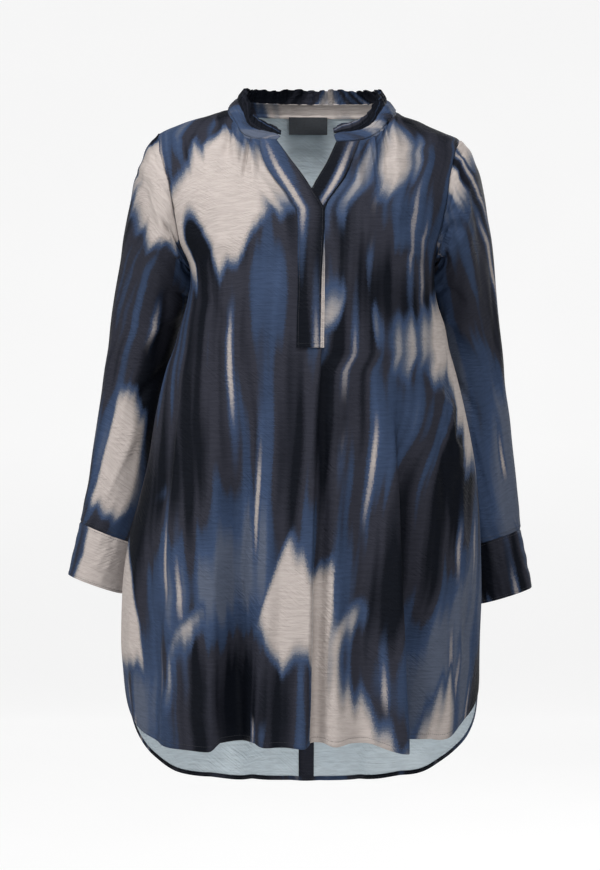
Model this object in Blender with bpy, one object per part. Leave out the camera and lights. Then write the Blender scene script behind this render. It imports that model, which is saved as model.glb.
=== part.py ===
"""Tunic top, filled out as if worn: front, back, two sleeves with cuffs, a split placket, a collar band with a
gathered frill, a neck label and a narrow strip up the inside of the back.

Metres, +Z up. The front faces -Y and the wearer's right is at -X. The origin is the middle of the neck
opening at shoulder height, where the wearer holds the garment up. Each piece of cloth is the middle surface
of its wall, worked out from the tables below, and a Solidify modifier gives it its thickness.
"""

import math

import bpy
import numpy as np

# ---------------------------------------------------------------- driving sizes, in metres
WALL = 0.0012  # one layer of cloth
DOUBLE_WALL = 0.0018  # collar band and cuffs, two layers
FRILL_WALL = 0.0010
SEAM_INSET = 0.0003  # a panel stops this far short of its seam line
SLEEVE_INSET = 0.0012  # the sleeve starts this far outside the armhole
LAYER = 0.0016  # from the middle of one layer of the placket to the next

SLIT_FOOT = -0.309  # height of the lower end of the front slit
SLIT_LAP = 0.003  # how far the placket lies on the panel beside the slit
FOLD_SAG = 0.45  # share of a fold's depth by which the hem hangs lower there

FRILL_WAVES = 38
FRILL_SWING = 0.0030  # half the width of a wave at the frill's free edge
LABEL = (0.051, 0.021)  # width and drop of the neck label
LABEL_MIDDLE = -0.0100
STRIP_HALF = 0.0098  # half the width of the strip inside the back
STRIP_TOP = -0.15

# Level sections of the body: height, reach to the wearer's right (-X) and left (+X), to the front and to
# the back, and how square the section is (2 is an ellipse).
SECTION_COLUMNS = ("height", "right", "left", "front", "back", "square")
SECTIONS = [
    (0.0026, 0.1144, 0.1000, 0.070, 0.068, 2.2),
    (0.0000, 0.1205, 0.1040, 0.072, 0.070, 2.2),
    (-0.0078, 0.1440, 0.1150, 0.076, 0.075, 2.1),
    (-0.0143, 0.1680, 0.1350, 0.079, 0.080, 2.1),
    (-0.0215, 0.1885, 0.1500, 0.082, 0.085, 2.0),
    (-0.0290, 0.2040, 0.1680, 0.085, 0.089, 2.0),
    (-0.0377, 0.2150, 0.1872, 0.088, 0.093, 2.0),
    (-0.0600, 0.2260, 0.1965, 0.097, 0.102, 2.1),
    (-0.0770, 0.2255, 0.1990, 0.102, 0.107, 2.15),
    (-0.0950, 0.2190, 0.1965, 0.108, 0.111, 2.2),
    (-0.1165, 0.2090, 0.1890, 0.115, 0.115, 2.3),
    (-0.1500, 0.1925, 0.1725, 0.123, 0.119, 2.4),
    (-0.1770, 0.1795, 0.1590, 0.128, 0.121, 2.5),
    (-0.2041, 0.1640, 0.1535, 0.132, 0.122, 2.5),
    (-0.2210, 0.1626, 0.1534, 0.135, 0.121, 2.5),
    (-0.2444, 0.1664, 0.1560, 0.138, 0.121, 2.4),
    (-0.2808, 0.1768, 0.1675, 0.140, 0.121, 2.2),
    (-0.3081, 0.1846, 0.1727, 0.141, 0.121, 2.1),
    (-0.3315, 0.1937, 0.1795, 0.142, 0.122, 2.0),
    (-0.3887, 0.2074, 0.1935, 0.143, 0.124, 2.0),
    (-0.4589, 0.2190, 0.2065, 0.144, 0.127, 2.0),
    (-0.5057, 0.2306, 0.2110, 0.145, 0.130, 2.0),
    (-0.5499, 0.2422, 0.2135, 0.146, 0.132, 2.0),
    (-0.6214, 0.2516, 0.2150, 0.148, 0.137, 2.0),
    (-0.6850, 0.2532, 0.2128, 0.149, 0.141, 2.0),
    (-0.7400, 0.2490, 0.2118, 0.149, 0.142, 2.0),
    (-0.8000, 0.2440, 0.2100, 0.150, 0.144, 2.0),
    (-0.9000, 0.2410, 0.2080, 0.150, 0.146, 2.0),
]

# Neckline and hem: the share of the way from the middle to the side, -1 at the right, then heights.
NECKLINE_COLUMNS = ("share", "front", "back")
NECKLINE = [
    (-1.000, 0.0026, 0.0026),
    (-0.717, -0.0215, 0.0024),
    (-0.578, -0.0400, 0.0022),
    (-0.422, -0.0460, 0.0020),
    (0.000, -0.0485, 0.0018),
    (0.229, -0.0496, 0.0015),
    (0.370, -0.0467, 0.0010),
    (0.531, -0.0367, 0.0006),
    (0.684, -0.0208, 0.0002),
    (1.000, 0.0000, 0.0000),
]
HEM_COLUMNS = ("share", "front", "back")
HEM = [
    (-1.00, -0.726, -0.726),
    (-0.93, -0.756, -0.772),
    (-0.84, -0.780, -0.809),
    (-0.70, -0.799, -0.844),
    (-0.55, -0.806, -0.868),
    (-0.40, -0.804, -0.880),
    (0.00, -0.801, -0.889),
    (0.40, -0.802, -0.877),
    (0.55, -0.797, -0.859),
    (0.70, -0.782, -0.836),
    (0.84, -0.764, -0.808),
    (0.94, -0.746, -0.776),
    (1.00, -0.726, -0.726),
]

# Armholes: height of the underarm and of the shoulder point, and how far the loop swells forward and back.
ARMHOLE_COLUMNS = ("underarm", "shoulder", "forward", "backward")
ARMHOLES = {"right": (-0.2041, -0.0286, 0.062, 0.068), "left": (-0.1963, -0.0377, 0.062, 0.068)}

# The placket: height, then X of the outer seam and the free edge of the upper strip (wearer's right), and
# of the free edge and the outer seam of the lower strip.
PLACKET_COLUMNS = ("height", "upper_seam", "upper_edge", "lower_edge", "lower_seam")
PLACKET = [
    (-0.0480, -0.0715, -0.0505, 0.0250, 0.0550),
    (-0.0784, -0.0650, -0.0283, 0.0118, 0.0431),
    (-0.0960, -0.0549, -0.0160, 0.0017, 0.0361),
    (-0.1153, -0.0400, -0.0035, -0.0085, 0.0229),
    (-0.1295, -0.0310, 0.0055, -0.0165, 0.0135),
    (-0.1387, -0.0247, 0.0098, -0.0193, 0.0106),
    (-0.1480, -0.0237, 0.0098, -0.0193, 0.0103),
    (-0.2238, -0.0237, 0.0062, -0.0190, 0.0100),
    (-0.3115, -0.0255, 0.0045, -0.0190, 0.0090),
]

# The two lines that carry the slit's sides on down to the hem. The second is the edge of the front pleat.
PLEAT_COLUMNS = ("height", "right_line", "left_line")
PLEAT = [
    (-0.3115, -0.0225, 0.0060),
    (-0.4125, -0.0285, 0.0002),
    (-0.5014, -0.0345, -0.0060),
    (-0.5555, -0.0360, -0.0075),
    (-0.7448, -0.0380, -0.0090),
    (-0.8300, -0.0440, -0.0140),
]

# Falling folds: X and height where each begins, X at the hem, its reach to either side, its depth at the
# hem, out of the cloth (+) or into it (-), and how far it leans to the wearer's left (+X).
FOLD_COLUMNS = ("x_top", "z_top", "x_hem", "reach_right", "reach_left", "depth", "lean")
FRONT_FOLDS = [
    (-0.156, -0.24, -0.188, 0.012, 0.022, 0.008, 0.003),
    (-0.126, -0.33, -0.140, 0.040, 0.018, 0.020, 0.005),
    (-0.094, -0.33, -0.103, 0.018, 0.022, -0.030, 0.000),
    (-0.054, -0.38, -0.066, 0.020, 0.020, 0.011, 0.000),
    (0.000, -0.30, -0.022, 0.024, 0.010, 0.013, 0.006),
    (0.012, -0.30, -0.002, 0.007, 0.009, -0.011, 0.000),
    (0.028, -0.30, 0.022, 0.011, 0.014, 0.009, 0.000),
    (0.062, -0.40, 0.056, 0.014, 0.016, -0.009, 0.000),
    (0.088, -0.33, 0.090, 0.028, 0.011, 0.026, 0.011),
    (0.104, -0.33, 0.117, 0.012, 0.022, -0.027, 0.000),
    (0.138, -0.36, 0.156, 0.020, 0.022, 0.010, 0.000),
]
BACK_FOLDS = [
    (-0.130, -0.22, -0.174, 0.026, 0.028, 0.014, 0.000),
    (-0.090, -0.25, -0.114, 0.024, 0.024, -0.016, 0.000),
    (-0.045, -0.20, -0.060, 0.024, 0.024, 0.014, 0.000),
    (0.000, -0.34, -0.012, 0.020, 0.020, -0.006, 0.000),
    (0.038, -0.22, 0.036, 0.024, 0.024, 0.013, 0.000),
    (0.078, -0.24, 0.088, 0.024, 0.024, -0.016, 0.000),
    (0.118, -0.21, 0.142, 0.026, 0.026, 0.013, 0.000),
]

# Gathers held by the neck seam, on each side of the placket: how many there are between the shoulder and the
# placket, the shares of that way at which they start and end, their length downwards and their depth.
GATHER_COLUMNS = ("count", "start", "end", "length", "depth")
GATHERS = {"right": (8, 0.10, 0.84, 0.085, 0.0030), "left": (8, 0.12, 0.90, 0.095, 0.0032)}

# The collar, by degrees round from the middle of the front, past the wearer's left and the back: heights of
# the band and the frill, and degrees by which both lean into the neck.
COLLAR_COLUMNS = ("turn", "band", "frill", "lean")
COLLAR = [
    (10.0, 0.0155, 0.0105, 38.0),
    (20.0, 0.0168, 0.0145, 34.0),
    (40.0, 0.0180, 0.0178, 33.0),
    (70.0, 0.0185, 0.0180, 37.0),
    (90.0, 0.0185, 0.0180, 38.0),
    (130.0, 0.0182, 0.0182, 31.0),
    (180.0, 0.0178, 0.0198, 24.0),
    (230.0, 0.0182, 0.0182, 31.0),
    (270.0, 0.0182, 0.0180, 40.0),
    (300.0, 0.0188, 0.0182, 36.0),
    (318.0, 0.0165, 0.0175, 33.0),
    (330.0, 0.0135, 0.0140, 34.0),
    (340.0, 0.0095, 0.0085, 38.0),
]

# Sleeves, from the armhole to the cuff seam and on through the cuff: the outer and the inner point of each
# section, seen from the front, the Y of its middle and its half depth.
SLEEVE_COLUMNS = ("outer_x", "outer_z", "inner_x", "inner_z", "middle_y", "half_depth")
SLEEVES = {
    "right": [
        (-0.2029, -0.0286, -0.1640, -0.2041, 0.002, 0.065),
        (-0.2161, -0.0418, -0.1650, -0.2065, 0.005, 0.071),
        (-0.2295, -0.0678, -0.1660, -0.2100, 0.011, 0.075),
        (-0.2363, -0.0868, -0.1665, -0.2150, 0.018, 0.077),
        (-0.2479, -0.1377, -0.1675, -0.2260, 0.030, 0.076),
        (-0.2571, -0.1889, -0.1690, -0.2440, 0.047, 0.073),
        (-0.2707, -0.2670, -0.1770, -0.2850, 0.070, 0.066),
        (-0.2815, -0.3398, -0.1930, -0.3570, 0.085, 0.059),
        (-0.2940, -0.4199, -0.2105, -0.4370, 0.092, 0.052),
        (-0.3065, -0.4962, -0.2265, -0.5130, 0.094, 0.047),
        (-0.3150, -0.5345, -0.2430, -0.5624, 0.094, 0.044),
    ],
    "left": [
        (0.1872, -0.0377, 0.1535, -0.1963, 0.002, 0.065),
        (0.1992, -0.0489, 0.1545, -0.1990, 0.005, 0.071),
        (0.2113, -0.0743, 0.1560, -0.2035, 0.011, 0.075),
        (0.2184, -0.0997, 0.1565, -0.2105, 0.019, 0.076),
        (0.2260, -0.1377, 0.1565, -0.2225, 0.032, 0.075),
        (0.2341, -0.1887, 0.1560, -0.2430, 0.051, 0.071),
        (0.2428, -0.2668, 0.1585, -0.2830, 0.079, 0.063),
        (0.2514, -0.3396, 0.1665, -0.3530, 0.095, 0.056),
        (0.2609, -0.4199, 0.1760, -0.4350, 0.102, 0.051),
        (0.2706, -0.5005, 0.1880, -0.5150, 0.104, 0.047),
        (0.2755, -0.5441, 0.2023, -0.5679, 0.104, 0.044),
    ],
}
CUFFS = {
    "right": [
        (-0.3153, -0.5362, -0.2436, -0.5641, 0.094, 0.041),
        (-0.3234, -0.5710, -0.2507, -0.5980, 0.094, 0.040),
        (-0.3315, -0.6061, -0.2579, -0.6320, 0.094, 0.038),
    ],
    "left": [
        (0.2758, -0.5459, 0.2028, -0.5697, 0.104, 0.040),
        (0.2833, -0.5850, 0.2095, -0.6082, 0.104, 0.039),
        (0.2907, -0.6240, 0.2161, -0.6468, 0.104, 0.038),
    ],
}
# Folds along a sleeve: the side of the section it is on, in degrees from the outer point round by the front,
# where it starts, peaks and ends along the sleeve, its reach in degrees and its depth.
SLEEVE_FOLD_COLUMNS = ("angle", "starts", "peaks", "ends", "reach", "depth")
SLEEVE_FOLDS = {
    "right": [
        (58.0, 0.05, 0.40, 0.85, 22.0, -0.005),
        (100.0, 0.15, 0.45, 0.80, 22.0, 0.005),
        (-60.0, 0.20, 0.55, 0.95, 24.0, -0.005),
        (30.0, 0.45, 0.80, 1.05, 20.0, 0.003),
    ],
    "left": [
        (52.0, 0.05, 0.35, 0.80, 20.0, -0.006),
        (92.0, 0.10, 0.40, 0.80, 22.0, 0.005),
        (-64.0, 0.20, 0.55, 0.95, 24.0, -0.005),
        (18.0, 0.40, 0.75, 1.05, 20.0, 0.003),
    ],
}

# ---------------------------------------------------------------- how finely each piece is divided
FRONT_SIDE_CELLS, PLEAT_CELLS = 24, 5
BACK_SIDE_CELLS, STRIP_CELLS = 13, 2
SKIRT_ROWS, BUST_ROWS, ARMHOLE_ROWS, SHOULDER_ROWS = 11, 3, 11, 3
ROWS = SKIRT_ROWS + BUST_ROWS + ARMHOLE_ROWS + SHOULDER_ROWS
SLEEVE_CELLS, SLEEVE_ROWS = 2 * ARMHOLE_ROWS, 15
BAND_CELLS, FRILL_CELLS_PER_WAVE = 60, 5
PLACKET_CELLS, PLACKET_ROWS = 3, 16

# Name, colour, roughness and metallic value of each material.
MATERIALS = {
    "printed_cloth": ((0.045, 0.060, 0.098), 0.72, 0.0),
    "label_cloth": ((0.016, 0.019, 0.024), 0.60, 0.0),
}


def smooth(t):
    """0 below 0, 1 above 1, and a soft step between."""
    t = np.clip(t, 0.0, 1.0)
    return t * t * (3.0 - 2.0 * t)


def between(rows, column, at):
    """A table's column at any value of its first column, on a smooth curve that doesn't overshoot."""
    table = np.array(sorted(rows), float)
    knots, values = table[:, 0], table[:, column]
    step = np.diff(knots)
    slope = np.diff(values) / step
    tangent = np.concatenate([slope[:1], np.zeros(len(slope) - 1), slope[-1:]])
    for i in range(1, len(slope)):
        if slope[i - 1] * slope[i] > 0:
            before, after = 2 * step[i] + step[i - 1], step[i] + 2 * step[i - 1]
            tangent[i] = (before + after) / (before / slope[i - 1] + after / slope[i])
    at = np.clip(at, knots[0], knots[-1])
    i = np.clip(np.searchsorted(knots, at) - 1, 0, len(step) - 1)
    t = (at - knots[i]) / step[i]
    rise = values[i + 1] - values[i]
    bend_in = step[i] * tangent[i] - rise
    bend_out = rise - step[i] * tangent[i + 1]
    return values[i] + t * rise + t * (1 - t) * ((1 - t) * bend_in + t * bend_out)


# ---------------------------------------------------------------- the body's surface
def section(z):
    """Reach right, left, front and back, and squareness, at height z."""
    return [between(SECTIONS, column, z) for column in range(1, len(SECTION_COLUMNS))]


def body_y(x, z, half):
    """Y of the body's plain surface at X and height z."""
    right, left, front, back, square = section(z)
    share = np.clip(np.abs(x) / np.where(x < 0, right, left), 0.0, 1.0)
    deep = (1 - share**square) ** (1 / square)
    return -front * deep if half == "front" else back * deep


def across(edge_z, angle):
    """X at an angle across a row, whose ends are at edge_z. The angle is 0 at the middle, a quarter turn
    where the row would reach the side."""
    right, left, _, _, square = section(edge_z)
    return np.where(angle < 0, right, left) * np.sign(angle) * np.abs(np.sin(angle)) ** (2.0 / square)


def angle_at(edge_z, x):
    """The angle across a row at which it has this X."""
    right, left, _, _, square = section(edge_z)
    share = np.clip(np.abs(x) / np.where(x < 0, right, left), 0.0, 1.0)
    return np.sign(x) * np.arcsin(share ** (square / 2.0))


def armhole_depth(side, z, half):
    """How far in front of, or behind, the side seam's plane the armhole is at height z."""
    underarm, shoulder, forward, backward = ARMHOLES[side]
    middle, radius = (underarm + shoulder) / 2, (shoulder - underarm) / 2
    swell = forward if half == "front" else backward
    return swell * np.sqrt(np.clip(1 - ((z - middle) / radius) ** 2, 0.0, 1.0))


def edge_angle(side, z, half):
    """Where a panel ends at height z: at the side seam, at the armhole or at the shoulder seam."""
    depth = np.maximum(armhole_depth(side, z, half), SEAM_INSET)
    _, _, front, back, square = section(z)
    share = np.clip(depth / (front if half == "front" else back), 0.0, 1.0)
    return np.arccos(share ** (square / 2.0))


def falling_relief(x, z, folds, hem):
    """Depth and lean of the falling folds."""
    depths = np.zeros(np.broadcast(x, z).shape)
    leans = depths.copy()
    for x_top, z_top, x_hem, reach_right, reach_left, depth, lean in folds:
        down = (z_top - z) / (z_top - hem)
        middle = x_top + (x_hem - x_top) * np.clip(down, 0.0, 1.1)
        reach = np.where(x < middle, reach_right, reach_left) * (0.65 + 0.35 * np.clip(down, 0.0, 1.0))
        strength = smooth(down / 0.35) * (0.3 + 0.7 * np.clip(down, 0.0, 1.0))
        strength = strength * np.exp(-(((x - middle) / reach) ** 2))
        depths = depths + depth * strength
        leans = leans + lean * strength
    return depths, leans


def gather_relief(side, to_placket, below_neck):
    """Depth of the gathers. to_placket is 0 at the shoulder's neck end and 1 at the placket."""
    count, start, end, length, depth = GATHERS[side]
    held = smooth((to_placket - start) / 0.10) * smooth((end - to_placket) / 0.10)
    reach = length * (0.75 + 0.25 * np.sin(9.0 * to_placket + 0.7))
    fading = 1 - smooth(below_neck / reach)
    return depth * held * fading * np.cos(2 * math.pi * count * to_placket)


def relief(x, z, half):
    """How far the cloth stands out of the plain section and leans to the left. Neither reaches the sides."""
    right, left = section(z)[:2]
    calm = 1 - np.clip(np.abs(x) / np.where(x < 0, right, left), 0.0, 1.0) ** 8
    if half == "back":
        depth, lean = falling_relief(x, z, BACK_FOLDS, HEM[6][2])
    else:
        depth, lean = falling_relief(x, z, FRONT_FOLDS, HEM[6][1])
    return calm * depth, calm * lean


def grid_normals(points, closed=False):
    """Unit normals of a grid of points, from its neighbours along rows and columns."""
    if closed:
        along = np.roll(points, -1, axis=1) - np.roll(points, 1, axis=1)
    else:
        along = np.gradient(points, axis=1)
    normal = np.cross(along, np.gradient(points, axis=0))
    return normal / np.maximum(np.linalg.norm(normal, axis=-1, keepdims=True), 1e-12)


def outward(points, closed=False):
    """Unit normals of a grid, turned to point away from its middle."""
    normals = grid_normals(points, closed)
    if closed:
        middle = points.mean(axis=1, keepdims=True)
    else:
        middle = points * (0, 0, 1)
    return normals * np.sign((normals * (points - middle)).sum(axis=-1).mean())


# ---------------------------------------------------------------- rows and columns of the body's panels
def hem_height(share, half):
    """Height of the hem, which sags at the folds."""
    plain = between(HEM, 1 if half == "front" else 2, share)
    x = across(plain, share * math.pi / 2)
    return plain - FOLD_SAG * np.clip(relief(x, plain, half)[0], 0.0, None)


def neck_height(share, half):
    return between(NECKLINE, 1 if half == "front" else 2, share)


def row_shares(side, top):
    """Heights of the rows above the underarm as shares of the way up to the neck end of the shoulder."""
    underarm, shoulder = ARMHOLES[side][:2]
    turn = np.linspace(0, math.pi, ARMHOLE_ROWS + 1)[1:]
    armhole = underarm + (shoulder - underarm) * (1 - np.cos(turn)) / 2
    over = np.linspace(shoulder, top, SHOULDER_ROWS + 1)[1:]
    return (np.concatenate([armhole, over]) - underarm) / (top - underarm)


def panel_heights(share, half):
    """Heights of all rows at each share of the way across, from the hem up to the neckline."""
    to_left = (share + 1) / 2
    underarm = ARMHOLES["right"][0] * (1 - to_left) + ARMHOLES["left"][0] * to_left
    hem = hem_height(share, half)
    top = neck_height(share, half)
    skirt = [hem + (SLIT_FOOT - hem) * t for t in np.linspace(0, 1, SKIRT_ROWS + 1)]
    bust = [SLIT_FOOT + (underarm - SLIT_FOOT) * t for t in np.linspace(0, 1, BUST_ROWS + 1)[1:]]
    right = row_shares("right", NECKLINE[0][1])
    left = row_shares("left", NECKLINE[-1][1])
    upper = [underarm + (top - underarm) * (r * (1 - to_left) + f * to_left) for r, f in zip(right, left)]
    return np.array(skirt + bust + upper)


def row_ends(half):
    """For each row: the heights of its right and left end, and the angles across at which it ends."""
    ends = panel_heights(np.array([-1.0, 1.0]), half)
    return ends[:, 0], ends[:, 1], edge_angle("right", ends[:, 0], half), edge_angle("left", ends[:, 1], half)


def grid_x(share, z, half):
    """X of a grid's points. Above the underarm, only the columns near the sides follow the armhole in and out."""
    right_z, left_z, right_end, left_end = (column[:, None] for column in row_ends(half))
    underarm = SKIRT_ROWS + BUST_ROWS
    above = np.arange(ROWS + 1)[:, None] > underarm
    near = np.abs(share) ** 3
    sides = []
    for column, end_z, end in ((0, right_z, right_end), (1, left_z, left_end)):
        level = section(np.where(above, end_z, z))
        reach, square = level[column], level[4]
        up = np.clip((end_z - end_z[underarm]) / (end_z[-1] - end_z[underarm]), 0.0, 1.0)
        calm = section(end_z[underarm])[column] * (1 - up) + section(end_z[-1])[column] * up
        reach = np.where(above, calm + (reach - calm) * near, reach)
        angle = share * (math.pi / 2 + (end - math.pi / 2) * near)
        sides.append(reach * np.sign(angle) * np.abs(np.sin(angle)) ** (2.0 / square))
    return np.where(share < 0, *sides)


def share_at(x, half):
    """For each row, the share across at which it has this X."""
    share = np.linspace(-1, 1, 401)[None, :] + np.zeros((ROWS + 1, 1))
    middle = panel_heights(np.array([0.0]), half)
    rows = grid_x(share, middle, half)
    return np.array([np.interp(x[k], rows[k], share[k]) for k in range(ROWS + 1)])


def panel_points(share, half, gathers=0.0):
    """Points of a panel, from a row of shares across for each row of heights."""
    z = np.array([panel_heights(row, half)[k] for k, row in enumerate(share)])
    x = grid_x(share, z, half)
    plain = np.stack([x, body_y(x, z, half), z], axis=-1)
    depth, lean = relief(x, z, half)
    return plain + outward(plain) * (depth + gathers)[..., None] + np.array([1.0, 0, 0]) * lean[..., None]


def shares_around(first_x, second_x, half, side_cells, middle_cells):
    """Shares across with columns on two lines, evenly spread between them and on to both sides."""
    first, second = share_at(first_x, half)[:, None], share_at(second_x, half)[:, None]
    spread = np.linspace(0, 1, side_cells + 1)
    middle = first + (second - first) * np.linspace(0, 1, middle_cells + 1)[1:-1]
    return np.concatenate([-1 + (1 + first) * spread, middle, second + (1 - second) * spread], axis=1)


def slit_lines():
    """X of the slit's two sides at each row, carried on below it by the pleat's lines."""
    z = panel_heights(np.array([0.0]), "front")[:, 0]
    right = np.where(z > SLIT_FOOT - 0.001, between(PLACKET, 1, z) + SLIT_LAP, between(PLEAT, 1, z))
    left = np.where(z > SLIT_FOOT - 0.001, between(PLACKET, 4, z) - SLIT_LAP, between(PLEAT, 2, z))
    return right, left


def front_points():
    right, left = slit_lines()
    share = shares_around(right, left, "front", FRONT_SIDE_CELLS, PLEAT_CELLS)
    z = panel_heights(np.array([0.0]), "front")[:, 0]
    to_placket = np.linspace(0, 1, FRONT_SIDE_CELLS + 1)[None, :]
    below_neck = (z[-1] - z)[:, None]
    gathers = np.zeros_like(share)
    gathers[:, : FRONT_SIDE_CELLS + 1] = gather_relief("right", to_placket, below_neck)
    gathers[:, -FRONT_SIDE_CELLS - 1 :] = gather_relief("left", 1 - to_placket, below_neck)
    return panel_points(share, "front", gathers)


def front_cells():
    """The front's cells, without those of the slit."""
    keep = np.ones((ROWS, 2 * FRONT_SIDE_CELLS + PLEAT_CELLS), bool)
    keep[SKIRT_ROWS:, FRONT_SIDE_CELLS : FRONT_SIDE_CELLS + PLEAT_CELLS] = False
    return keep


def back_points():
    z = panel_heights(np.array([0.0]), "back")[:, 0]
    middle = -0.0125 * smooth((-0.20 - z) / 0.60)
    lines = (middle - STRIP_HALF, middle + STRIP_HALF)
    return panel_points(shares_around(*lines, "back", BACK_SIDE_CELLS, STRIP_CELLS), "back")


# ---------------------------------------------------------------- pieces that lie on the body
def back_strip_points():
    """The strip inside the back: the panel's own points, moved in by one layer."""
    back = back_points()
    inside = back - outward(back) * LAYER
    strip = inside[:, BACK_SIDE_CELLS : BACK_SIDE_CELLS + STRIP_CELLS + 1]
    return strip[strip[:, 0, 2] < STRIP_TOP]


def on_front(x, z, level):
    """Points on the front's surface, moved out by a level."""
    point = np.stack([x, body_y(x, z, "front") - relief(x, z, "front")[0], z], axis=-1)
    return point + outward(point) * level


def neck_gap(x):
    """Height just below the front neckline at X."""
    ends = (NECKLINE[0][1], NECKLINE[-1][1])
    angle = np.where(x < 0, angle_at(ends[0], x), angle_at(ends[1], x))
    return neck_height(angle / (math.pi / 2), "front") - 0.0012


def placket_strip(edges, level):
    """A strip between two of the placket's lines, up to the neck seam."""
    t = np.linspace(0, 1, PLACKET_ROWS + 1)[:, None]
    foot, top = PLACKET[-1][0], PLACKET[0][0]
    z = foot + (top - foot) * t
    first, second = (between(PLACKET, edge, z) for edge in edges)
    x = first + (second - first) * np.linspace(0, 1, PLACKET_CELLS + 1)[None, :]
    z = z + (neck_gap(x) - top) * t**8
    return on_front(x, z, level)


def neck_label():
    """The label hangs from the back of the band, just inside the back panel."""
    width, drop = LABEL
    x = LABEL_MIDDLE + width * np.linspace(-0.5, 0.5, 5)[None, :]
    z = np.linspace(-drop, -0.0004, 4)[:, None]
    inside = body_y(x, 0 * z, "back") - 0.0030 - 0.25 * z
    return np.stack([x + 0 * z, inside + 0 * z, z + 0 * x], axis=-1)


# ---------------------------------------------------------------- collar
BAND_FOOT_ENDS = (12.0, 336.2)  # degrees round from the middle of the front, by the wearer's left and the back
BAND_TOP_ENDS = (10.5, 338.6)


def neck_point(turn):
    """A point of the neckline, turn degrees round from the middle of the front."""
    turn = (np.asarray(turn, float) + 180.0) % 360.0 - 180.0
    in_front = np.abs(turn) <= 90.0
    share = np.where(in_front, turn / 90.0, np.sign(turn) * (2 - np.abs(turn) / 90.0))
    edge = np.where(share < 0, NECKLINE[0][1], NECKLINE[-1][1])
    x = across(edge, share * math.pi / 2)
    front_z, back_z = neck_height(share, "front"), neck_height(share, "back")
    y = np.where(in_front, body_y(x, front_z, "front"), body_y(x, back_z, "back"))
    return np.stack([x, y, np.where(in_front, front_z, back_z)], axis=-1)


def neck_inward(turn):
    """The level direction into the neck, square to the neckline."""
    along = neck_point(turn + 7.0) - neck_point(turn - 7.0)
    inward = np.stack([-along[..., 1], along[..., 0], 0 * along[..., 0]], axis=-1)
    return inward / np.linalg.norm(inward, axis=-1, keepdims=True)


def collar(turn):
    """Heights of the band and the frill at a turn, and the direction in which they stand."""
    band, frill, lean = (between(COLLAR, column, turn) for column in (1, 2, 3))
    lean = np.radians(lean)[..., None]
    return band, frill, neck_inward(turn) * np.sin(lean) + np.array([0, 0, 1.0]) * np.cos(lean)


def band_points():
    foot = np.linspace(*BAND_FOOT_ENDS, BAND_CELLS + 1)
    top = np.linspace(*BAND_TOP_ENDS, BAND_CELLS + 1)
    rows = []
    for t in (0.0, 0.5, 1.0):
        turn = foot + (top - foot) * t
        band, _, rise = collar(turn)
        swell = 0.0012 * math.sin(math.pi * t)
        base = neck_point(turn) - neck_inward(turn) * swell
        rows.append(base + rise * (0.0014 + (band - 0.0014) * t)[:, None])
    return np.array(rows)


def frill_points():
    """The gathered frill: waves that open from the band's edge to the free edge, uneven in size."""
    cells = FRILL_WAVES * FRILL_CELLS_PER_WAVE
    along = np.linspace(0, 1, cells + 1)
    turn = BAND_TOP_ENDS[0] + (BAND_TOP_ENDS[1] - BAND_TOP_ENDS[0]) * along
    uneven = 0.75 + 0.25 * np.sin(2 * math.pi * 7.3 * along + 1.1) * np.cos(2 * math.pi * 3.1 * along)
    wave = np.sin(2 * math.pi * FRILL_WAVES * along + 1.3 * np.sin(2 * math.pi * 4 * along)) * uneven
    band, frill, rise = collar(turn)
    tall = frill * (1 + 0.05 * np.sin(2 * math.pi * 11 * along + 0.6))
    foot = neck_point(turn) + rise * (band + 0.0014)[:, None]
    rows = []
    for t in (0.0, 0.4, 1.0):
        swing = FRILL_SWING * wave * (0.10 + 0.90 * t)
        rows.append(foot + rise * (tall * t)[:, None] + neck_inward(turn) * swing[:, None])
    return np.array(rows)


# ---------------------------------------------------------------- sleeves and cuffs
def tube_point(rows, along, turn):
    """A tube through a table of sections. turn is 0 at the outer point, and goes round by the front."""
    numbered = [(i / (len(rows) - 1), *row) for i, row in enumerate(rows)]
    ox, oz, ix, iz, middle_y, half_depth = (between(numbered, c, along) for c in range(1, 7))
    out = (1 + np.cos(turn)) / 2
    x, z = ix + (ox - ix) * out, iz + (oz - iz) * out
    return np.stack([x, middle_y - half_depth * np.sin(turn), z], axis=-1)


def armhole_point(side, turn):
    """The armhole's seam line, moved outwards to where the sleeve starts."""
    underarm, shoulder = ARMHOLES[side][:2]
    z = underarm + (shoulder - underarm) * (1 + np.cos(turn)) / 2
    sign = -1.0 if side == "right" else 1.0
    ring = []
    for half in ("front", "back"):
        x = across(z, sign * edge_angle(side, z, half))
        ring.append(np.stack([x, body_y(x, z, half), z], axis=-1))
    loop = np.where((np.sin(turn) >= 0)[..., None], *ring)
    loop[..., 1] = np.where(np.abs(np.sin(turn)) < 1e-6, 0.0, loop[..., 1])
    return loop + np.array([sign * SLEEVE_INSET, 0, 0])


def sleeve_relief(side, along, turn):
    total = np.zeros(np.broadcast(along, turn).shape)
    for angle, starts, peaks, ends, reach, depth in SLEEVE_FOLDS[side]:
        away = (np.degrees(turn) - angle + 180.0) % 360.0 - 180.0
        strength = smooth((along - starts) / (peaks - starts)) * smooth((ends - along) / (ends - peaks))
        total = total + depth * strength * np.exp(-((away / reach) ** 2))
    return total


def sleeve_points(side):
    along = (np.linspace(0, 1, SLEEVE_ROWS + 1) ** 1.15)[:, None]
    turn = np.linspace(0, 2 * math.pi, SLEEVE_CELLS, endpoint=False)[None, :]
    plain = tube_point(SLEEVES[side], along + 0 * turn, turn + 0 * along)
    start = armhole_point(side, turn[0]) - plain[0]
    plain = plain + start[None] * (1 - smooth(along / 0.28))[..., None]
    return plain + outward(plain, closed=True) * sleeve_relief(side, along, turn)[..., None]


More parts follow.
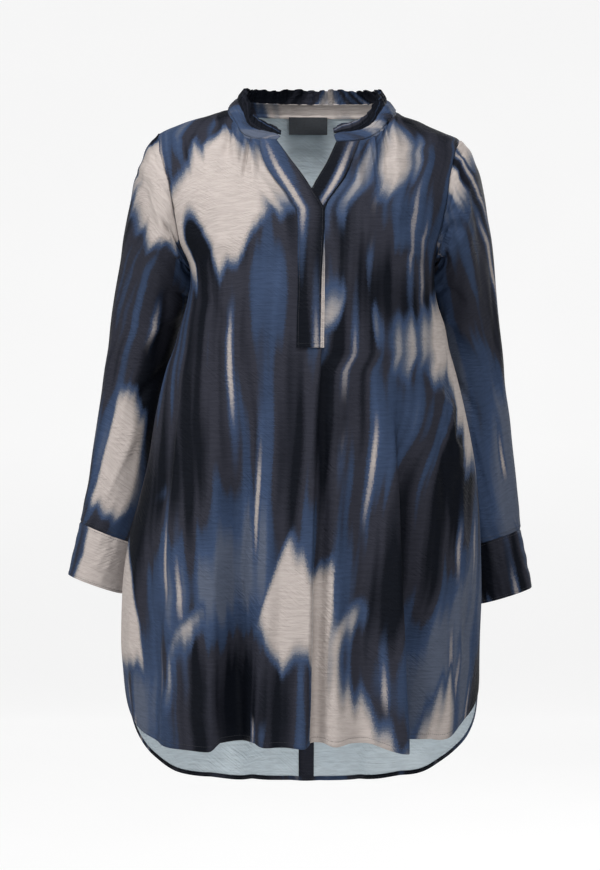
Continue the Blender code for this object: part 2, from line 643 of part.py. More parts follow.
def cuff_points(side):
    along = np.linspace(0, 1, 3)[:, None]
    turn = np.linspace(0, 2 * math.pi, SLEEVE_CELLS, endpoint=False)[None, :]
    return tube_point(CUFFS[side], along + 0 * turn, turn + 0 * along)


# ---------------------------------------------------------------- meshes
def clear_scene():
    for obj in list(bpy.data.objects):
        bpy.data.objects.remove(obj, do_unlink=True)


def material(name):
    if name in bpy.data.materials:
        return bpy.data.materials[name]
    colour, roughness, metallic = MATERIALS[name]
    made = bpy.data.materials.new(name)
    made.use_nodes = True
    shader = made.node_tree.nodes["Principled BSDF"]
    shader.inputs["Base Color"].default_value = (*colour, 1.0)
    shader.inputs["Roughness"].default_value = roughness
    shader.inputs["Metallic"].default_value = metallic
    return made


def cloth(name, points, wall=WALL, closed=False, keep=None, finish="printed_cloth"):
    """An object from a grid of points: its cells as triangles, given a wall by Solidify.
    keep says which cells are there, and a closed grid joins its last column to its first."""
    rows, columns = points.shape[:2]
    cells = columns if closed else columns - 1
    normals = grid_normals(points, closed).reshape(-1, 3)
    faces = []
    for r in range(rows - 1):
        for c in range(cells):
            if keep is not None and not keep[r, c]:
                continue
            a, b = r * columns + c, r * columns + (c + 1) % columns
            d, e = a + columns, b + columns
            if normals[a] @ normals[e] > normals[b] @ normals[d]:
                faces += [(a, b, e), (a, e, d)]
            else:
                faces += [(a, b, d), (b, e, d)]
    used = sorted({corner for face in faces for corner in face})
    number = {old: new for new, old in enumerate(used)}
    flat = points.reshape(-1, 3)
    mesh = bpy.data.meshes.new(name)
    mesh.from_pydata([tuple(flat[i]) for i in used], [], [tuple(number[i] for i in face) for face in faces])
    mesh.shade_smooth()
    mesh.materials.append(material(finish))
    obj = bpy.data.objects.new(name, mesh)
    bpy.context.scene.collection.objects.link(obj)
    solidify = obj.modifiers.new("wall", "SOLIDIFY")
    solidify.thickness = wall
    solidify.offset = 0.0
    return obj


def build():
    clear_scene()
    cloth("front", front_points(), keep=front_cells())
    cloth("back", back_points())
    for side in ("right", "left"):
        cloth(f"sleeve_{side}", sleeve_points(side), closed=True)
        cloth(f"cuff_{side}", cuff_points(side), wall=DOUBLE_WALL, closed=True)
    cloth("placket_lower", placket_strip((3, 4), LAYER))
    cloth("placket_upper", placket_strip((1, 2), 2 * LAYER))
    cloth("collar_band", band_points(), wall=DOUBLE_WALL)
    cloth("collar_frill", frill_points(), wall=FRILL_WALL)
    cloth("back_strip", back_strip_points())
    cloth("neck_label", neck_label(), wall=0.0008, finish="label_cloth")


build()
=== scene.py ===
"""Looks of the tunic top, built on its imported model: fine cloth with its creases, hems and stitching, a
smeared print, a plain studio and the camera.

Metres, +Z up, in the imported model's frame: the front faces -Y and the wearer's right is at -X. Lengths in
the tables are in millimetres, and metres() turns them.
"""

import math

import bpy
import numpy as np
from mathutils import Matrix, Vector


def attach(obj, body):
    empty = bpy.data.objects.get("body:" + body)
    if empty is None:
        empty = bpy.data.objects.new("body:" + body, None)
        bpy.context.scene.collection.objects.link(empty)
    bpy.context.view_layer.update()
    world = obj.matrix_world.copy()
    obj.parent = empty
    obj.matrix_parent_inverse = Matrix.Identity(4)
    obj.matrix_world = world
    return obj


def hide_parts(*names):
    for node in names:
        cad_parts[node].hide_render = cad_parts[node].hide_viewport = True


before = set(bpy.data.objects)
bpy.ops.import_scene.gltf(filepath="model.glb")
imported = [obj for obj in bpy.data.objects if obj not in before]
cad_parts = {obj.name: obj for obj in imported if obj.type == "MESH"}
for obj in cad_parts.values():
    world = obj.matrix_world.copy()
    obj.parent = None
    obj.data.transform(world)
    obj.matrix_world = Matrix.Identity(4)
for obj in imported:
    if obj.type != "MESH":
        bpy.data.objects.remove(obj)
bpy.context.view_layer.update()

# ---------------------------------------------------------------- driving sizes, in metres
CLOTH = 0.0006  # one layer of the fine cloth
DOUBLE = 0.0011  # collar band, cuffs and plackets, two layers
HEM_LAYER = 0.0013  # from the cloth to the hem turned up inside it
SEAM_TUCK = 0.0013  # how far a seam sinks below the cloth beside it
SEAM_REACH = 0.0013  # how far from the seam it does so
SEAM_ALLOWANCE = 0.004
SEAM_GAP = 0.0004  # from the placket's top to the neckline
FOLDED_IN, FOLD_REACH = 0.0005, 0.0008  # how far a folded edge of two layers is rounded off
RIPPLE = 0.0005  # height of the cloth's uneven ripples
RIPPLE_SEEDS = {"front": 3, "back": 8}
CREASED = 1.45  # how much sharper the creases are than their tables say
CREASE_STEEP, CREASE_GENTLE = 0.7, 1.5  # reach of a crease's two sides, in its widths
HEAD_GATHER, HEAD_GATHER_LENGTH = 0.0011, 0.045  # the small gathers at a sleeve's head
SLEEVE_RADIUS, SLEEVE_LENGTH, CUFF_DEPTH = 0.065, 0.53, 0.075
SLIT_FOOT, SLIT_LAP = -0.309, 0.003
FOLD_SAG = {"front": 0.45, "back": 0.20}
FRILL_WAVES, FRILL_SWING = 38, 0.0030
FRILL_TIP, FRILL_GATHER, FRILL_LAP, FRILL_FOOT = 0.0012, 0.0007, 0.0011, 0.0012  # its smaller movements
PLACKET_PUCKER, BAND_PUCKER = 0.00018, 0.00022  # height of the puckers beside the stitching
CUFF_RIPPLE, CUFF_FOLDED_IN = 0.0004, 0.0006
LABEL, LABEL_MIDDLE, LABEL_WALL = (0.051, 0.021), -0.0100, 0.0005
LABEL_TOP, LABEL_INSIDE, LABEL_SLOPE, LABEL_CURL = 0.0016, 0.0043, 0.25, 0.0006
STRIP_HALF, STRIP_TOP, STRIP_LEVEL = 0.0098, -0.15, 0.0014
STRIP_DRIFT, STRIP_DRIFT_FROM, STRIP_DRIFT_OVER = -0.0125, -0.20, 0.60  # its middle strays to the right
PLACKET_LEVELS = {"placket_lower": 0.0013, "placket_upper": 0.0026}
PLACKET_EDGES = {"placket_lower": (3, 4), "placket_upper": (1, 2)}
BAND_FOOT_ENDS, BAND_TOP_ENDS = (12.0, 336.2), (10.5, 338.6)  # degrees round the neck
BAND_HEIGHT, BAND_SWELL = 0.018, 0.0012
STITCH, STITCH_GAP, THREAD = 0.0021, 0.0005, 0.0004

# The picture: its size in pixels, metres to a pixel at the garment, and the camera's distance and aim.
PICTURE, ORIGIN_PIXEL = (600, 870), (316, 112)
METRES_PER_PIXEL = 0.0013
VIEW_DISTANCE, SENSOR = 3.1, 36.0
VIEW_MIDDLE = (
    (PICTURE[0] / 2 - ORIGIN_PIXEL[0]) * METRES_PER_PIXEL,
    0.0,
    (ORIGIN_PIXEL[1] - PICTURE[1] / 2) * METRES_PER_PIXEL,
)

# The studio: heights and reaches of the floor and backdrop, its glow, and the room past it: what lights the
# cloth, and what shows from behind. Each light has its place, size and power.
FLOOR, FLOOR_FRONT, FLOOR_HALF = -1.45, -7.0, 8.0
BACKDROP, BACKDROP_TOP, BACKDROP_BEND = 6.5, 5.0, 1.0
STUDIO_DARK, STUDIO_LIGHT, STUDIO_GLOW = (0.30, 0.30, 0.30), (0.31, 0.31, 0.31), 0.741
ROOM_LIGHT, ROOM_SEEN = 0.18, 0.93
LIGHTS = {
    "key": ((-2.6, -1.6, 1.0), 0.9, 63.0),
    "fill": ((0.9, -3.3, 0.3), 2.2, 25.0),
    "top": ((0.1, -1.4, 1.8), 0.9, 56.0),
    "behind": ((1.9, 2.9, 1.0), 1.8, 34.0),
}

# Colours, linear.
NEAR_BLACK, CHARCOAL = (0.004, 0.005, 0.008), (0.022, 0.023, 0.032)
BLUE, BRIGHT_BLUE = (0.025, 0.039, 0.074), (0.033, 0.052, 0.100)
SLATE, GREY_BEIGE = (0.070, 0.084, 0.119), (0.190, 0.187, 0.200)
BEIGE_SHADE, BEIGE = (0.295, 0.264, 0.248), (0.375, 0.333, 0.312)
WRONG_SIDE, SHOWS_THROUGH = (0.66, 0.735, 0.78), 0.10
# Painted shade in the crinkles' hollows and painted light on their ridges, with a little of the slubs' own
# tone: the weave's height scales the cloth's colour between these two.
SLUB_TONE_AND_CRINKLE_SHADE, SLUB_TONE_AND_CRINKLE_HIGHLIGHT = (0.93, 0.93, 0.93), (1.07, 1.07, 1.07)
THREAD_DARK, THREAD_LIGHT = (0.010, 0.011, 0.016), (0.022, 0.023, 0.031)
LABEL_DARK, LABEL_LIGHT = (0.012, 0.014, 0.018), (0.021, 0.025, 0.031)
# Grains to a metre, roughness and depth of the bump.
THREAD_GRAIN, LABEL_GRAIN = ((900.0, 900.0, 900.0), 0.6, 0.0001), ((300.0, 300.0, 2600.0), 0.55, 0.0002)
STUDIO_GRAIN = ((2.0, 2.0, 2.0), 0.9)

# The print: its patterns' grains to a metre of cloth, across and along, how far the cloth's points are moved
# by them, in metres, where each pattern's soft edge lies, and the colours of the ground and of the lobes from
# their edge in.
GRAINS, SWAY = (520.0, 520.0), (4.4, 2.8)
FIELDS, LOBES, STROKES = (5.4, 3.4), (5.9, 4.2), (9.5, 2.5)
DRIPS, FINE_DRIPS, STREAKS, STREAK_PATCHES = (27.0, 2.1), (66.0, 2.9), (48.0, 3.0), (6.0, 5.0)
JITTER, SWAYED, HALF_SWAYED = (0.0060, 0.0100, 0.0), (0.110, 0.090, 0.0), (0.040, 0.050, 0.0)
FIELD_DRIPS, FIELD_FINE_DRIPS, LOBE_DRIPS, LOBE_FINE_DRIPS = 0.46, -0.24, -0.22, -0.10
LOBE_EDGE, STROKE_EDGE, LOBE_RIM = (0.385, 0.535), (0.41, 0.47), (0.0, 0.25)
PATCH_EDGE, CHANCE_EDGE, STREAK_RIM, STREAK_CORE = (0.44, 0.56), (0.66, 0.68), (0.44, 0.20), (0.24, 0.08)
GROUND = [  # place, colour
    (0.49, NEAR_BLACK),
    (0.60, CHARCOAL),
    (0.64, CHARCOAL),
    (0.68, BLUE),
    (0.77, BRIGHT_BLUE),
    (0.85, SLATE),
]
LOBE = [
    (0.00, BRIGHT_BLUE),
    (0.25, BRIGHT_BLUE),
    (0.42, SLATE),
    (0.60, GREY_BEIGE),
    (0.84, BEIGE_SHADE),
    (1.00, BEIGE),
]
# The weave: grains to a metre, across and along, of its slubs, crinkles and drawn creases.
SLUB, CRINKLE, PATCHES, DRAWN = (60.0, 900.0), (44.0, 300.0), (14.0, 22.0), (40.0, 330.0)
DRAWN_SLANT, ROUGHNESS, SPECULAR = 0.62, (0.50, 0.68), 0.04
WEAVE_BUMP, WEAVE_DEPTH = 0.9, 0.0013

# Each piece of cloth: its cut's width and length as it shows, in metres, the share of that which it fills,
# where on the printed cloth it is cut, how it is held and what it is sewn to, and so hangs from.
CUTS = {
    "front": (0.62, 0.86, 0.82, 4.00, -0.40, "gathered", "collar_band"),
    "back": (0.60, 0.95, 0.80, 5.64, 1.52, "hung", "collar_band"),
    "sleeve_right": (0.45, 0.55, 0.62, 3.35, 0.40, "hung", "front"),
    "sleeve_left": (0.44, 0.55, 0.62, 6.40, 0.70, "hung", "front"),
    "cuff_right": (0.25, 0.075, 0.95, 8.32, 1.96, "hung", "sleeve_right"),
    "cuff_left": (0.25, 0.080, 0.95, 6.41, 0.25, "hung", "sleeve_left"),
    "placket_upper": (0.030, 0.28, 0.98, 4.08, 0.30, "hung", "front"),
    "placket_lower": (0.032, 0.28, 0.98, 3.82, 1.06, "hung", "front"),
    "collar_band": (0.57, 0.019, 0.95, 4.04, -0.72, "hung", "back"),
    "collar_frill": (0.75, 0.019, 0.90, 11.74, 0.82, "gathered", "collar_band"),
    "back_strip": (0.020, 0.76, 0.98, 10.5, 1.51, "hung", "back"),
    "neck_label": (0.051, 0.021, 1.00, 12.0, 0.00, "hung", "collar_band"),
}

# ---------------------------------------------------------------- how finely each piece is divided
SKIRT_ROWS, BUST_ROWS, ARMHOLE_ROWS, SHOULDER_ROWS = 112, 24, 56, 14
ROWS = SKIRT_ROWS + BUST_ROWS + ARMHOLE_ROWS + SHOULDER_ROWS
FRONT_CELLS, PLEAT_CELLS = 90, 20
BACK_CELLS, STRIP_CELLS = 76, 6
SLEEVE_CELLS, SLEEVE_ROWS, CUFF_ROWS = 2 * ARMHOLE_ROWS, 130, 20
TURNS = np.linspace(0, math.tau, SLEEVE_CELLS, endpoint=False)[None, :]
BAND_CELLS = 300
BAND_SHARES = (-0.12, 0.0, 0.04, 0.09, 0.16, 0.30, 0.50, 0.70, 0.84, 0.91, 0.96, 1.0)
FRILL_CELLS_PER_WAVE, FRILL_ROWS = 20, 9
PLACKET_CELLS, PLACKET_ROWS = 14, 120
LABEL_CELLS, LABEL_ROWS = 20, 10
# Where the stitches run, in rows or columns of a piece's grid from its edge. Those of the hem count from the
# panel's lowest row and from the edge turned up.
HEM_STITCHES, PLACKET_STITCHES, PLACKET_FOOT_STITCHES = (1.35, 0.6), 1.75, 2.4
SLEEVE_STITCHES, CUFF_SEAM_STITCHES, CUFF_FOLD_STITCHES = 1.1, 1.6, 1.8
BAND_STITCHES = 3.4


# ---------------------------------------------------------------- tables
def metres(rows, *lengths):
    """A table's rows, with the columns that lengths names, or all, turned from millimetres into metres."""
    return [tuple(v / 1000 if not lengths or c in lengths else v for c, v in enumerate(row)) for row in rows]


# Level sections of the body: height, reach to the wearer's right (-X) and left (+X), to the front and to the
# back, and how square the section is (2 is an ellipse).
SECTIONS = metres([
    (2.6, 114.4, 100, 70, 68, 2.2),
    (0, 120.5, 104, 72, 70, 2.2),
    (-7.8, 144, 115, 76, 75, 2.1),
    (-14.3, 168, 135, 79, 80, 2.1),
    (-21.5, 188.5, 150, 82, 85, 2),
    (-29, 204, 168, 85, 89, 2),
    (-37.7, 215, 187.2, 88, 93, 2),
    (-60, 226, 196.5, 97, 102, 2.1),
    (-77, 225.5, 199, 102, 107, 2.15),
    (-95, 219, 196.5, 108, 111, 2.2),
    (-116.5, 209, 189, 115, 115, 2.3),
    (-150, 192.5, 172.5, 123, 119, 2.4),
    (-177, 179.5, 159, 128, 121, 2.5),
    (-204.1, 164, 153.5, 132, 122, 2.5),
    (-221, 162.6, 153.4, 135, 121, 2.5),
    (-244.4, 166.4, 156, 138, 121, 2.4),
    (-280.8, 176.8, 167.5, 140, 121, 2.2),
    (-308.1, 184.6, 172.7, 141, 121, 2.1),
    (-331.5, 193.7, 179.5, 142, 122, 2),
    (-388.7, 207.4, 193.5, 143, 124, 2),
    (-458.9, 219, 206.5, 144, 127, 2),
    (-505.7, 230.6, 211, 145, 130, 2),
    (-549.9, 242.2, 213.5, 146, 132, 2),
    (-621.4, 251.6, 215, 148, 137, 2),
    (-685, 253.2, 212.8, 149, 141, 2),
    (-740, 249, 211.8, 149, 142, 2),
    (-800, 244, 210, 150, 144, 2),
    (-900, 241, 208, 150, 146, 2),
], 0, 1, 2, 3, 4)
# Neckline and hem: the share of the way from the middle to the side, -1 at the right, then the heights of the
# front and of the back.
NECKLINE = metres([
    (-1, 2.6, 2.6),
    (-0.717, -21.5, 2.4),
    (-0.578, -40, 2.2),
    (-0.422, -46, 2),
    (0, -48.5, 1.8),
    (0.229, -49.6, 1.5),
    (0.37, -46.7, 1),
    (0.531, -36.7, 0.6),
    (0.684, -20.8, 0.2),
    (1, 0, 0),
], 1, 2)
HEM = metres([
    (-1, -726, -726),
    (-0.93, -756, -772),
    (-0.84, -780, -809),
    (-0.7, -799, -844),
    (-0.55, -806, -868),
    (-0.4, -804, -880),
    (0, -801, -889),
    (0.4, -802, -877),
    (0.55, -797, -859),
    (0.7, -782, -836),
    (0.84, -764, -808),
    (0.94, -746, -776),
    (1, -726, -726),
], 1, 2)
HEM_MIDDLE = {"front": -0.801, "back": -0.889}
# Armholes: heights of the underarm and the shoulder point, and how far the loop swells forward and back.
ARMHOLES = {
    "right": metres([(-204.1, -28.6, 62, 68)])[0],
    "left": metres([(-196.3, -37.7, 62, 68)])[0],
}
# The placket: height, then X of the upper strip's seam and free edge, and of the lower strip's.
PLACKET = metres([
    (-48, -71.5, -50.5, 25, 55),
    (-78.4, -65, -28.3, 11.8, 43.1),
    (-96, -54.9, -16, 1.7, 36.1),
    (-115.3, -40, -3.5, -8.5, 22.9),
    (-129.5, -31, 5.5, -16.5, 13.5),
    (-138.7, -24.7, 9.8, -19.3, 10.6),
    (-148, -23.7, 9.8, -19.3, 10.3),
    (-223.8, -23.7, 6.2, -19, 10),
    (-311.5, -25.5, 4.5, -19, 9),
])
# Below it, height and X of the two lines that carry the slit's sides on down. The second is the pleat's edge.
PLEAT = metres([
    (-311.5, -22.5, 6),
    (-412.5, -28.5, 0.2),
    (-501.4, -34.5, -6),
    (-555.5, -36, -7.5),
    (-744.8, -38, -9),
    (-830, -44, -14),
])
# The pleat's turn: how far each of its columns is past that edge to the wearer's left, and its level.
PLEAT_TURN = metres([
    (0.6, 2.6),
    (0.8, 2),
    (0.4, 1.3),
    (-1, 0.9),
    (-5, 0.2),
    (-9, -0.6),
    (-10.4, -1),
    (-10.8, -1.7),
    (-10.4, -2.4),
])
PLEAT_EDGE_LEVEL, PLEAT_UNDER_LEVEL = 0.0030, -0.0027

# Falling folds: X and height of the top, X at the hem, reach to the right and left, depth at the hem, out (+)
# or in (-), and lean to the left.
FRONT_FOLDS = metres([
    (-156, -240, -188, 12, 22, 8, 3),
    (-126, -330, -140, 40, 15, 21, 13),
    (-94, -330, -103, 18, 22, -30, 0),
    (-54, -380, -66, 20, 20, 11, 0),
    (0, -300, -22, 24, 10, 13, 6),
    (12, -300, -2, 7, 9, -11, 0),
    (28, -300, 22, 11, 14, 9, 0),
    (62, -400, 56, 14, 16, -9, 0),
    (88, -330, 90, 28, 11, 26, 15),
    (104, -330, 117, 12, 22, -27, 0),
    (138, -360, 156, 20, 22, 10, 0),
])
BACK_FOLDS = metres([
    (-130, -220, -174, 26, 28, 14, 0),
    (-90, -250, -114, 24, 24, -16, 0),
    (-45, -200, -60, 24, 24, 14, 0),
    (0, -340, -12, 20, 20, -6, 0),
    (38, -220, 36, 24, 24, 13, 0),
    (78, -240, 88, 24, 24, -16, 0),
    (118, -210, 142, 26, 26, 13, 0),
])
FOLDS = {"front": FRONT_FOLDS, "back": BACK_FOLDS}
# Gathers at the neck seam: their number from the shoulder to the placket, the shares of that way where they
# start and end, their length and depth.
GATHERS = {
    "right": metres([(8, 0.1, 0.84, 90, 4)], 3, 4)[0],
    "left": metres([(8, 0.12, 0.9, 100, 4.2)], 3, 4)[0],
}
# The collar, by degrees round from the middle of the front past the left: heights of the band and the frill,
# and degrees by which they lean in.
COLLAR = metres([
    (10, 15.5, 10.5, 38),
    (20, 16.8, 14.5, 34),
    (40, 18, 17.8, 33),
    (70, 18.5, 18, 37),
    (90, 18.5, 18, 38),
    (130, 18.2, 18.2, 31),
    (180, 17.8, 19.8, 24),
    (230, 18.2, 18.2, 31),
    (270, 18.2, 18, 40),
    (300, 18.8, 18.2, 36),
    (318, 16.5, 17.5, 33),
    (330, 13.5, 14, 34),
    (340, 9.5, 8.5, 38),
], 1, 2)
# Sleeve and cuff sections, seen from the front: X and Z of the outer and the inner point, Y of the middle and
# half the depth.
SLEEVES = {
    "right": metres([
        (-202.9, -28.6, -164, -204.1, 2, 65),
        (-216.1, -41.8, -165, -206.5, 5, 71),
        (-229.5, -67.8, -166, -210, 11, 75),
        (-236.3, -86.8, -166.5, -215, 18, 77),
        (-247.9, -137.7, -167.5, -226, 30, 76),
        (-257.1, -188.9, -169, -244, 47, 73),
        (-270.7, -267, -177, -285, 70, 66),
        (-281.5, -339.8, -193, -357, 85, 59),
        (-294, -419.9, -210.5, -437, 92, 52),
        (-306.5, -496.2, -226.5, -513, 94, 47),
        (-315, -534.5, -243, -562.4, 94, 44),
    ]),
    "left": metres([
        (187.2, -37.7, 153.5, -196.3, 2, 65),
        (199.2, -48.9, 154.5, -199, 5, 71),
        (211.3, -74.3, 156, -203.5, 11, 75),
        (218.4, -99.7, 156.5, -210.5, 19, 76),
        (226, -137.7, 156.5, -222.5, 32, 75),
        (234.1, -188.7, 156, -243, 51, 71),
        (242.8, -266.8, 158.5, -283, 79, 63),
        (251.4, -339.6, 166.5, -353, 95, 56),
        (260.9, -419.9, 176, -435, 102, 51),
        (270.6, -500.5, 188, -515, 104, 47),
        (275.5, -544.1, 202.3, -567.9, 104, 44),
    ]),
}
CUFFS = {
    "right": metres([
        (-315.3, -536.2, -243.6, -564.1, 94, 41),
        (-323.4, -571, -250.7, -598, 94, 40),
        (-331.5, -606.1, -257.9, -632, 94, 38),
    ]),
    "left": metres([
        (275.8, -545.9, 202.8, -569.7, 104, 40),
        (283.3, -585, 209.5, -608.2, 104, 39),
        (290.7, -624, 216.1, -646.8, 104, 38),
    ]),
}
# Folds along a sleeve: degrees round from the outer point by the front, where it starts, peaks and ends along
# the sleeve, its reach in degrees and its depth.
SLEEVE_FOLDS = {
    "right": metres([
        (58, 0.05, 0.4, 0.85, 22, -5),
        (100, 0.15, 0.45, 0.8, 22, 5),
        (-60, 0.2, 0.55, 0.95, 24, -5),
        (30, 0.45, 0.8, 1.05, 20, 3),
    ], 5),
    "left": metres([
        (52, 0.05, 0.35, 0.8, 20, -6),
        (92, 0.1, 0.4, 0.8, 22, 5),
        (-64, 0.2, 0.55, 0.95, 24, -5),
        (18, 0.4, 0.75, 1.05, 20, 3),
    ], 5),
}

# Creases that the solids leave out: where each starts, across and along its piece, where it ends, its width,
# its depth, out (+) or in (-), and how far its middle strays. A panel's are X and height. A sleeve's are the
# way round from its outer line, past the front, and the way down.
FRONT_CREASES = metres([
    (-158, -285, -187, -650, 4, 3, 6),
    (-184, -600, -196, -835, 5, 3.5, 0),
    (-172, -330, -196, -560, 8, -2, 4),
    (-205, -520, -222, -760, 10, -3, 4),
    (-228, -560, -240, -730, 6, 2, 3),
    (-243, -680, -232, -745, 5, 2, 0),
    (-128, -250, -118, -420, 12, -1.8, 10),
    (-83, -460, -88, -700, 5, 2.2, 3),
    (-60, -620, -59, -830, 2.8, 1.8, 1),
    (-47, -480, -50, -760, 7, -2.5, -3),
    (-104, -440, -106, -800, 4, -3, 2),
    (-150, -560, -118, -640, 3.5, 1.2, 4),
    (-152, -610, -116, -690, 3, 1.2, 5),
    (-150, -660, -118, -730, 3.5, 1.1, 4),
    (-146, -710, -120, -770, 3, 1, 3),
    (4, -330, -6, -760, 3.5, -2.4, 2),
    (30, -330, 24, -600, 4, 1.6, 3),
    (40, -560, 36, -820, 7, -2.2, 4),
    (70, -350, 74, -560, 5, 1.8, -4),
    (78, -600, 73, -830, 5, -1.8, 2),
    (148, -300, 166, -400, 6, 2, 4),
    (170, -370, 184, -470, 4, 3, 3),
    (146, -360, 186, -392, 3, 1.2, 3),
    (150, -384, 190, -420, 2.8, 1.2, 4),
    (156, -410, 194, -446, 3, 1.1, 3),
    (164, -440, 198, -474, 2.8, 1, 3),
    (160, -390, 172, -540, 5, -2.2, 5),
    (186, -460, 190, -620, 4.5, 2.8, 4),
    (174, -560, 176, -760, 6, 2.5, -4),
    (196, -560, 199, -730, 5, -2.2, 3),
    (205, -600, 207, -720, 3.5, 1.6, 0),
    (112, -130, 146, -180, 9, -2.2, 6),
    (90, -150, 140, -200, 7, 1.8, 8),
    (-140, -150, -160, -200, 6, -2, 4),
    (-118, -160, -158, -225, 8, 2, -8),
    (-60, -170, -52, -300, 9, -1.5, 6),
    (55, -150, 40, -290, 10, 1.6, 6),
    (150, -230, 120, -300, 7, -1.6, 4),
    (-150, -235, -110, -300, 8, -1.6, -6),
    (-118, 4, -125, -62, 4.5, -1.8, 1),
    (-109, -8, -113, -80, 4.5, -3, 1),
    (-94, -12, -98, -104, 4, 1.8, 1),
    (-86, -24, -89, -108, 4, -2.4, 1),
    (-78, -30, -80, -118, 4, 2, 1),
    (-101, -14, -104, -90, 4, 2.2, 1),
    (-70, -42, -71, -100, 4.5, -2.6, 1),
    (47, -36, 45, -112, 3.8, -2.2, 1),
    (55, -34, 53, -126, 4, 2, 1),
    (73, -28, 72, -122, 3.8, 2, 1),
    (90, -14, 91, -104, 4, -2.6, 1),
    (98, -4, 100, -90, 3.8, 1.8, 1),
    (65, -44, 63, -118, 4.5, -2.8, 1),
    (81, -34, 80, -108, 4.5, -2.6, 1),
])
BACK_CREASES = metres([
    (-170, -260, -196, -600, 6, 2.6, 6),
    (-150, -340, -160, -700, 7, -2.2, -6),
    (-205, -480, -226, -740, 7, -2.6, 4),
    (-100, -300, -86, -640, 5, 2, 8),
    (-72, -520, -80, -840, 6, -2, 2),
    (-30, -280, -36, -560, 8, 1.8, 6),
    (14, -420, 8, -800, 5, 1.8, -4),
    (60, -300, 62, -640, 6, -2, 6),
    (104, -360, 116, -760, 5, 2.2, -6),
    (150, -280, 176, -560, 7, -2.4, 6),
    (168, -480, 186, -740, 6, 2.6, 4),
    (-70, -60, -140, -140, 12, -2.4, 12),
    (62, -60, 130, -140, 12, -2.4, -12),
    (-140, -170, -100, -230, 9, 1.8, 6),
    (132, -170, 96, -230, 9, 1.8, -6),
    (0, -110, -4, -260, 14, -1.4, 0),
])
CREASES = {"front": FRONT_CREASES, "back": BACK_CREASES}
SLEEVE_CREASES = {
    "right": metres([
        (200, -60, 206, 340, 20, 3.6, 0),
        (190, 60, 172, 280, 6, 3, -10),
        (200, 30, 165, 190, 7.5, -5.5, 10),
        (186, 40, 140, 200, 6, 3.8, 12),
        (160, 20, 110, 150, 9, -3.4, 10),
        (120, 0, 90, 100, 6, 1.8, 4),
        (60, 0, 50, 60, 5, -1.6, 2),
        (30, 0, 28, 50, 4.5, -1.4, 2),
        (190, 250, 110, 300, 6, -2.6, 8),
        (180, 290, 90, 360, 7.5, 2.4, 10),
        (170, 350, 100, 400, 6, -2.4, 6),
        (140, 400, 80, 500, 7, 1.8, 8),
        (40, 260, 70, 440, 9, -2, 10),
        (-160, 60, -80, 200, 9, -3, 10),
        (-170, 240, -70, 330, 8, 2.6, -12),
        (-160, 320, -60, 400, 7, -2.6, -10),
        (-110, 390, -70, 520, 7, 1.8, 6),
    ]),
    "left": metres([
        (200, -60, 206, 340, 20, 3.6, 0),
        (188, 70, 168, 290, 6, 3, -10),
        (196, 20, 160, 200, 7.5, -5.5, 10),
        (180, 30, 134, 220, 6, 4, 12),
        (152, 10, 104, 180, 8.5, -3.6, 10),
        (120, 10, 88, 140, 5, 2.2, 6),
        (88, 0, 64, 120, 6, -2, 4),
        (44, 0, 40, 55, 4.5, -1.4, 2),
        (186, 240, 100, 310, 6.5, -2.8, 10),
        (170, 300, 80, 360, 7.5, 2.4, 8),
        (160, 360, 90, 420, 6, -2.2, 6),
        (120, 400, 90, 520, 6, 1.8, 6),
        (30, 240, 60, 420, 9, -2, 8),
        (-150, 50, -80, 190, 9, -3, 10),
        (-160, 230, -60, 320, 8, 2.6, -12),
        (-150, 330, -60, 410, 7, -2.6, -10),
    ]),
}


def smooth(t):
    """0 below 0, 1 above 1, and a soft step between."""
    t = np.clip(t, 0.0, 1.0)
    return t * t * (3.0 - 2.0 * t)


def between(rows, column, at):
    """A table's column at any value of its first column, on a smooth curve that doesn't overshoot."""
    table = np.array(sorted(rows), float)
    knots, values = table[:, 0], table[:, column]
    gap = np.diff(knots)
    slope = np.diff(values) / gap
    tangent = np.concatenate([slope[:1], np.zeros(len(slope) - 1), slope[-1:]])
    for i in range(1, len(slope)):
        if slope[i - 1] * slope[i] > 0:
            before, after = 2 * gap[i] + gap[i - 1], gap[i] + 2 * gap[i - 1]
            tangent[i] = (before + after) / (before / slope[i - 1] + after / slope[i])
    at = np.clip(at, knots[0], knots[-1])
    i = np.clip(np.searchsorted(knots, at) - 1, 0, len(gap) - 1)
    t = (at - knots[i]) / gap[i]
    rise = values[i + 1] - values[i]
    bend_in = gap[i] * tangent[i] - rise
    bend_out = rise - gap[i] * tangent[i + 1]
    return values[i] + t * rise + t * (1 - t) * ((1 - t) * bend_in + t * bend_out)


def near_edge(distance, reach=SEAM_REACH):
    """1 on an edge, fading over a short distance from it."""
    return np.exp(-((distance / reach) ** 2))


# ---------------------------------------------------------------- creases and ripples
def creases(table, across, along):
    """Depth of the listed creases at distances across and along a piece, steeper on one side."""
    total = np.zeros(np.broadcast(across, along).shape)
    for from_across, from_along, to_across, to_along, width, depth, bow in table:
        length = math.hypot(to_across - from_across, to_along - from_along)
        heading = (to_across - from_across) / length, (to_along - from_along) / length
        way = ((across - from_across) * heading[0] + (along - from_along) * heading[1]) / length
        off = (across - from_across) * heading[1] - (along - from_along) * heading[0]
        off = off + bow * 4 * way * (1 - way) * np.sign(heading[1])
        fading = smooth(way / 0.3) * smooth((1 - way) / 0.35)
        uneven = 1 + 0.25 * np.sin(9.0 * way + 40 * from_across)
        reach = width * uneven * np.where(off * depth > 0, CREASE_STEEP, CREASE_GENTLE)
        total = total + CREASED * depth * fading * uneven * np.exp(-((off / reach) ** 2))
    return total


